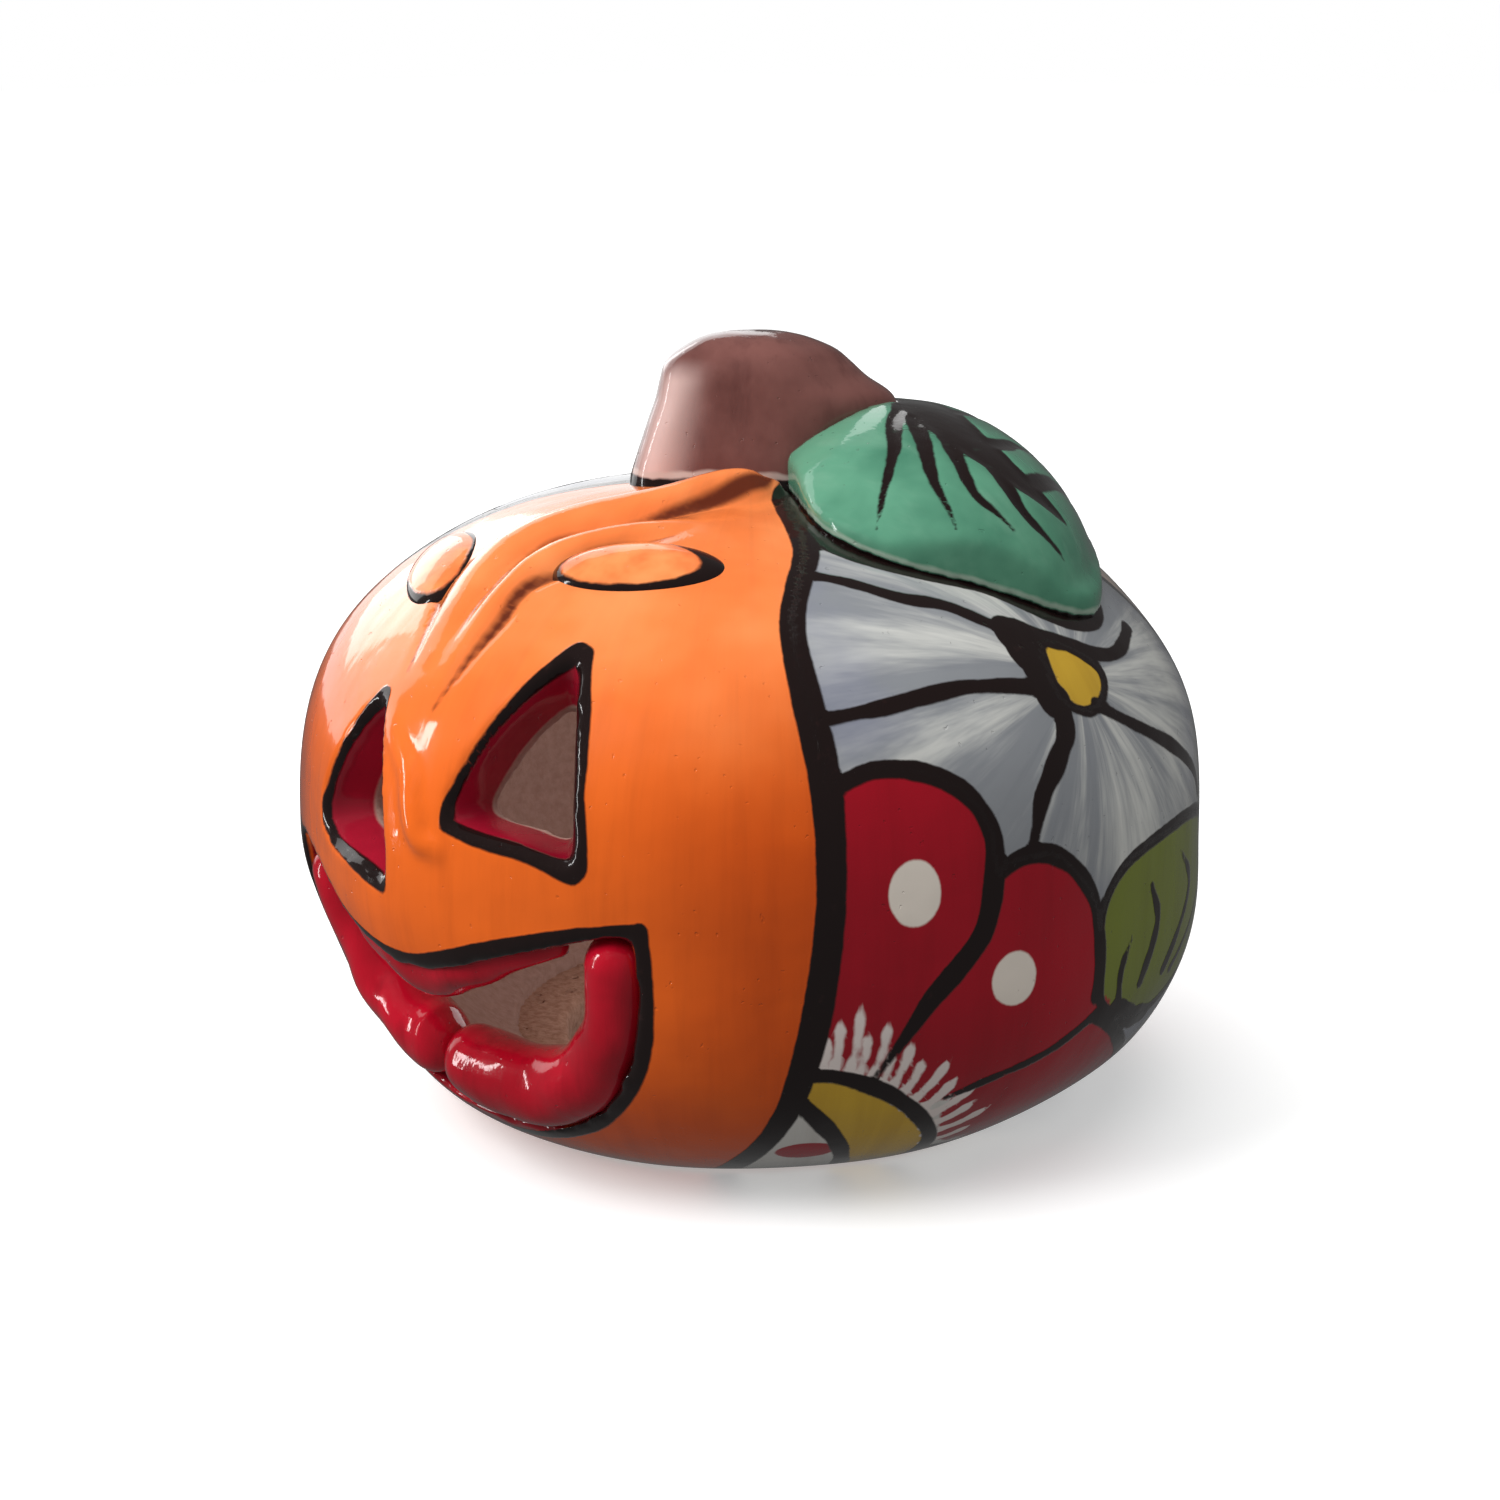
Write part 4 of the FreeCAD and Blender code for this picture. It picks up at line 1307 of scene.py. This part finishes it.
def stem_material():
    """Brown glaze with long upright streaks, a black band at its foot and two painted highlights: a pale
    band down one side and a pale line above the black band.
    """
    shader = Shader("stem_glaze")
    wash = shader.noise(shader.place, 55.0, 4.0, 0.6)
    strokes = shader.noise(shader.stretched(shader.place, (220.0, 220.0, 30.0)), 1.0, 4.0, 0.6)
    colour = shader.mix(shader.between(wash, 0.3, 0.72), srgb(124, 80, 74), srgb(94, 56, 52))
    colour = shader.mix(shader.between(strokes, 0.5, 0.75, 0.0, 0.45), colour, srgb(78, 44, 42))
    # Painted highlight: the pale band down the left side of the stem.
    facet_and_highlight = shader.times(shader.attribute("facet_and_highlight"), shader.between(wash, 0.25, 0.6, 0.6, 0.95))
    colour = shader.mix(facet_and_highlight, colour, srgb(214, 184, 178))
    wobble = shader.wobble(160.0, 2.6, 2.0)
    foot = shader.plus(shader.attribute("above_body"), wobble)
    band = shader.between(foot, 2.0, 1.5)
    # Painted highlight: a pale line just above the black band at the foot.
    edge = shader.times(shader.between(foot, 3.0, 2.4), shader.between(foot, 1.5, 2.0))
    colour = shader.mix(shader.times(edge, 0.75), colour, srgb(196, 176, 168))
    colour = shader.mix(band, colour, INK)
    return shader.glazed(colour, shader.between(wash, 0.3, 0.7, 0.16, 0.26), extra=strokes)


def leaf_material():
    """Green glaze with brushed black veins and a paler band above the black line along its foot."""
    shader = Shader("leaf_glaze")
    wash = shader.noise(shader.place, 42.0, 4.0, 0.58)
    strokes = shader.noise(shader.stretched(shader.place, (60.0, 200.0, 120.0)), 1.0, 4.0, 0.6)
    colour = shader.mix(shader.between(wash, 0.32, 0.7), srgb(92, 150, 122), srgb(60, 116, 92))
    colour = shader.mix(shader.between(strokes, 0.5, 0.75, 0.0, 0.3), colour, srgb(120, 164, 140))
    wobble = shader.wobble(300.0, 0.8)
    thin = shader.between(shader.noise(shader.place, 420.0, 3.0, 0.6), 0.6, 0.8, 0.0, 0.4)
    ink = shader.stroke("ink", wobble, 0.3, -0.15)
    colour = shader.mix(ink, colour, shader.mix(thin, INK, srgb(44, 60, 50)))
    foot = shader.plus(shader.attribute("above_body"), wobble)
    # A paler band just above the black line at the foot.
    edge = shader.times(shader.between(foot, 1.7, 1.1), shader.between(foot, 0.6, 0.9))
    colour = shader.mix(shader.times(edge, 0.5), colour, srgb(196, 206, 190))
    colour = shader.mix(shader.between(foot, 0.8, 0.4), colour, INK)
    return shader.glazed(colour, shader.between(wash, 0.3, 0.7, 0.15, 0.24), extra=strokes)


def clay_material():
    """Unglazed fired clay: gritty, pale, with darker stains in clouds."""
    shader = Shader("bare_clay")
    grain = shader.noise(shader.place, 700.0, 4.0, 0.65)
    stain = shader.noise(shader.place, 45.0, 3.0, 0.6)
    colour = shader.mix(shader.between(grain, 0.35, 0.7), srgb(190, 150, 128), srgb(160, 120, 100))
    colour = shader.mix(shader.between(stain, 0.45, 0.75, 0.0, 0.5), colour, srgb(128, 88, 72))
    pits = shader.between(shader.noise(shader.place, 380.0, 2.0), 0.66, 0.74)
    normal = shader.bump(grain, 0.0003)
    normal = shader.bump(shader.times(pits, -1.0), 0.0004, 1.0, normal)
    shader.set("Base Color", colour)
    shader.set("Roughness", shader.between(grain, 0.3, 0.7, 0.78, 0.95))
    shader.set("Normal", normal)
    shader.set("IOR", 1.5)
    return shader.material


# ------------------------------------------------------------------ assembly

painted = body_material("painted_glaze")
lips = lip_material()
brows = brow_material()
build_shells(painted)
build_lips(lips)
build_brow("brow_left", (6.5, 89.7), (33, 90.6), brows)
build_brow("brow_right", (-19, 84.3), (-41, 87.4), brows)
build_stem(stem_material())
build_leaf(leaf_material())
build_slab(clay_material())

# ------------------------------------------------------- floor, light, camera


def plain_floor():
    mesh = bpy.data.meshes.new("floor")
    reach = 4.0
    corners = [(-reach, -reach, 0), (reach, -reach, 0), (reach, reach, 0), (-reach, reach, 0)]
    mesh.from_pydata(corners, [], [(0, 1, 2, 3)])
    floor = bpy.data.objects.new("floor", mesh)
    link(floor)
    shader = Shader("floor_paint")
    shader.set("Base Color", (0.86, 0.86, 0.86, 1.0))
    shader.set("Emission Color", (1.0, 1.0, 1.0, 1.0))
    shader.set("Emission Strength", 0.32)
    shader.set("Roughness", 0.9)
    shader.set("Specular IOR Level", 0.1)
    mesh.materials.append(shader.material)
    floor.visible_glossy = False
    floor.visible_diffuse = False


def soft_box(name, place, width, height, watts, reflects):
    """Rectangular studio light aimed at the object, never seen by the camera."""
    data = bpy.data.lights.new(name, "AREA")
    data.shape = "RECTANGLE"
    data.size, data.size_y = width, height
    data.energy = watts
    lamp = bpy.data.objects.new(name, data)
    lamp.location = place
    lamp.rotation_euler = (LOOK_AT - place).to_track_quat("-Z", "Y").to_euler()
    lamp.visible_camera = False
    lamp.visible_glossy = reflects
    link(lamp)


plain_floor()

AZIMUTH, ELEVATION, DISTANCE = math.radians(43.0), math.radians(16.0), 0.420
LOOK_AT = Vector((0.0, 0.0, 0.0528))
back = Vector((
    math.sin(AZIMUTH) * math.cos(ELEVATION), -math.cos(AZIMUTH) * math.cos(ELEVATION), math.sin(ELEVATION),
))
right = Vector((math.cos(AZIMUTH), math.sin(AZIMUTH), 0.0))
level = Vector((math.sin(AZIMUTH), -math.cos(AZIMUTH), 0.0))
camera_data = bpy.data.cameras.new("camera")
camera_data.lens = 63.4
camera_data.sensor_width = 36.0
camera_data.clip_start = 0.01
camera = bpy.data.objects.new("camera", camera_data)
camera.location = LOOK_AT + back * DISTANCE
camera.rotation_euler = back.to_track_quat("Z", "Y").to_euler()
link(camera)
bpy.context.scene.camera = camera


def studio(sideways, towards, up):
    """Place in the studio as seen by the camera, in metres from the object."""
    return LOOK_AT + right * sideways + level * towards + Vector((0.0, 0.0, up))


# (name, place in the studio, width, height, watts, seen in reflections)
SOFT_BOXES = (
    ("key_upper_left", (-0.60, 0.30, 0.50), 0.45, 0.45, 4.5, False),
    ("window_behind", (-0.36, -0.58, 0.26), 0.90, 0.60, 1.7, True),
    ("window_middle", (-0.35, -0.57, 0.22), 0.40, 0.25, 0.5, True),
    ("strip_left", (-0.70, 0.02, 0.10), 0.05, 0.40, 0.7, True),
    ("fill_right", (0.75, 0.25, 0.55), 0.40, 0.60, 1.6, False),
)
for name, place, width, height, watts, reflects in SOFT_BOXES:
    soft_box(name, studio(*place), width, height, watts, reflects)

sky = bpy.data.lights.new("ceiling", "SUN")
sky.angle = math.radians(75.0)
sky.energy = 1.9
ceiling = bpy.data.objects.new("ceiling", sky)
ceiling.visible_glossy = False
overhead = Vector((0.0, 0.0, 1.0)) + right * -0.25 + level * 0.05
ceiling.rotation_euler = overhead.to_track_quat("Z", "Y").to_euler()
link(ceiling)


def studio_world():
    """White backdrop for the camera and a dimmer room for everything else."""
    world = bpy.data.worlds.new("studio")
    world.use_nodes = True
    tree = world.node_tree
    background = tree.nodes["Background"]
    background.inputs["Color"].default_value = (1.0, 1.0, 1.0, 1.0)
    path = tree.nodes.new("ShaderNodeLightPath")
    strength = tree.nodes.new("ShaderNodeMapRange")
    tree.links.new(path.outputs["Is Camera Ray"], strength.inputs["Value"])
    strength.inputs["To Min"].default_value = 0.30
    strength.inputs["To Max"].default_value = 1.0
    mirrored = tree.nodes.new("ShaderNodeMath")
    mirrored.operation = "MULTIPLY_ADD"
    tree.links.new(path.outputs["Is Glossy Ray"], mirrored.inputs[0])
    mirrored.inputs[1].default_value = -0.20
    tree.links.new(strength.outputs["Result"], mirrored.inputs[2])
    tree.links.new(mirrored.outputs[0], background.inputs["Strength"])
    bpy.context.scene.world = world


studio_world()
glow = bpy.data.lights.new("inside_fill", "POINT")
glow.energy = 0.035
glow.shadow_soft_size = 0.02
inside_fill = bpy.data.objects.new("inside_fill", glow)
inside_fill.location = (0.0, 0.005, 0.05)
link(inside_fill)
bpy.context.scene.view_settings.view_transform = "Standard"
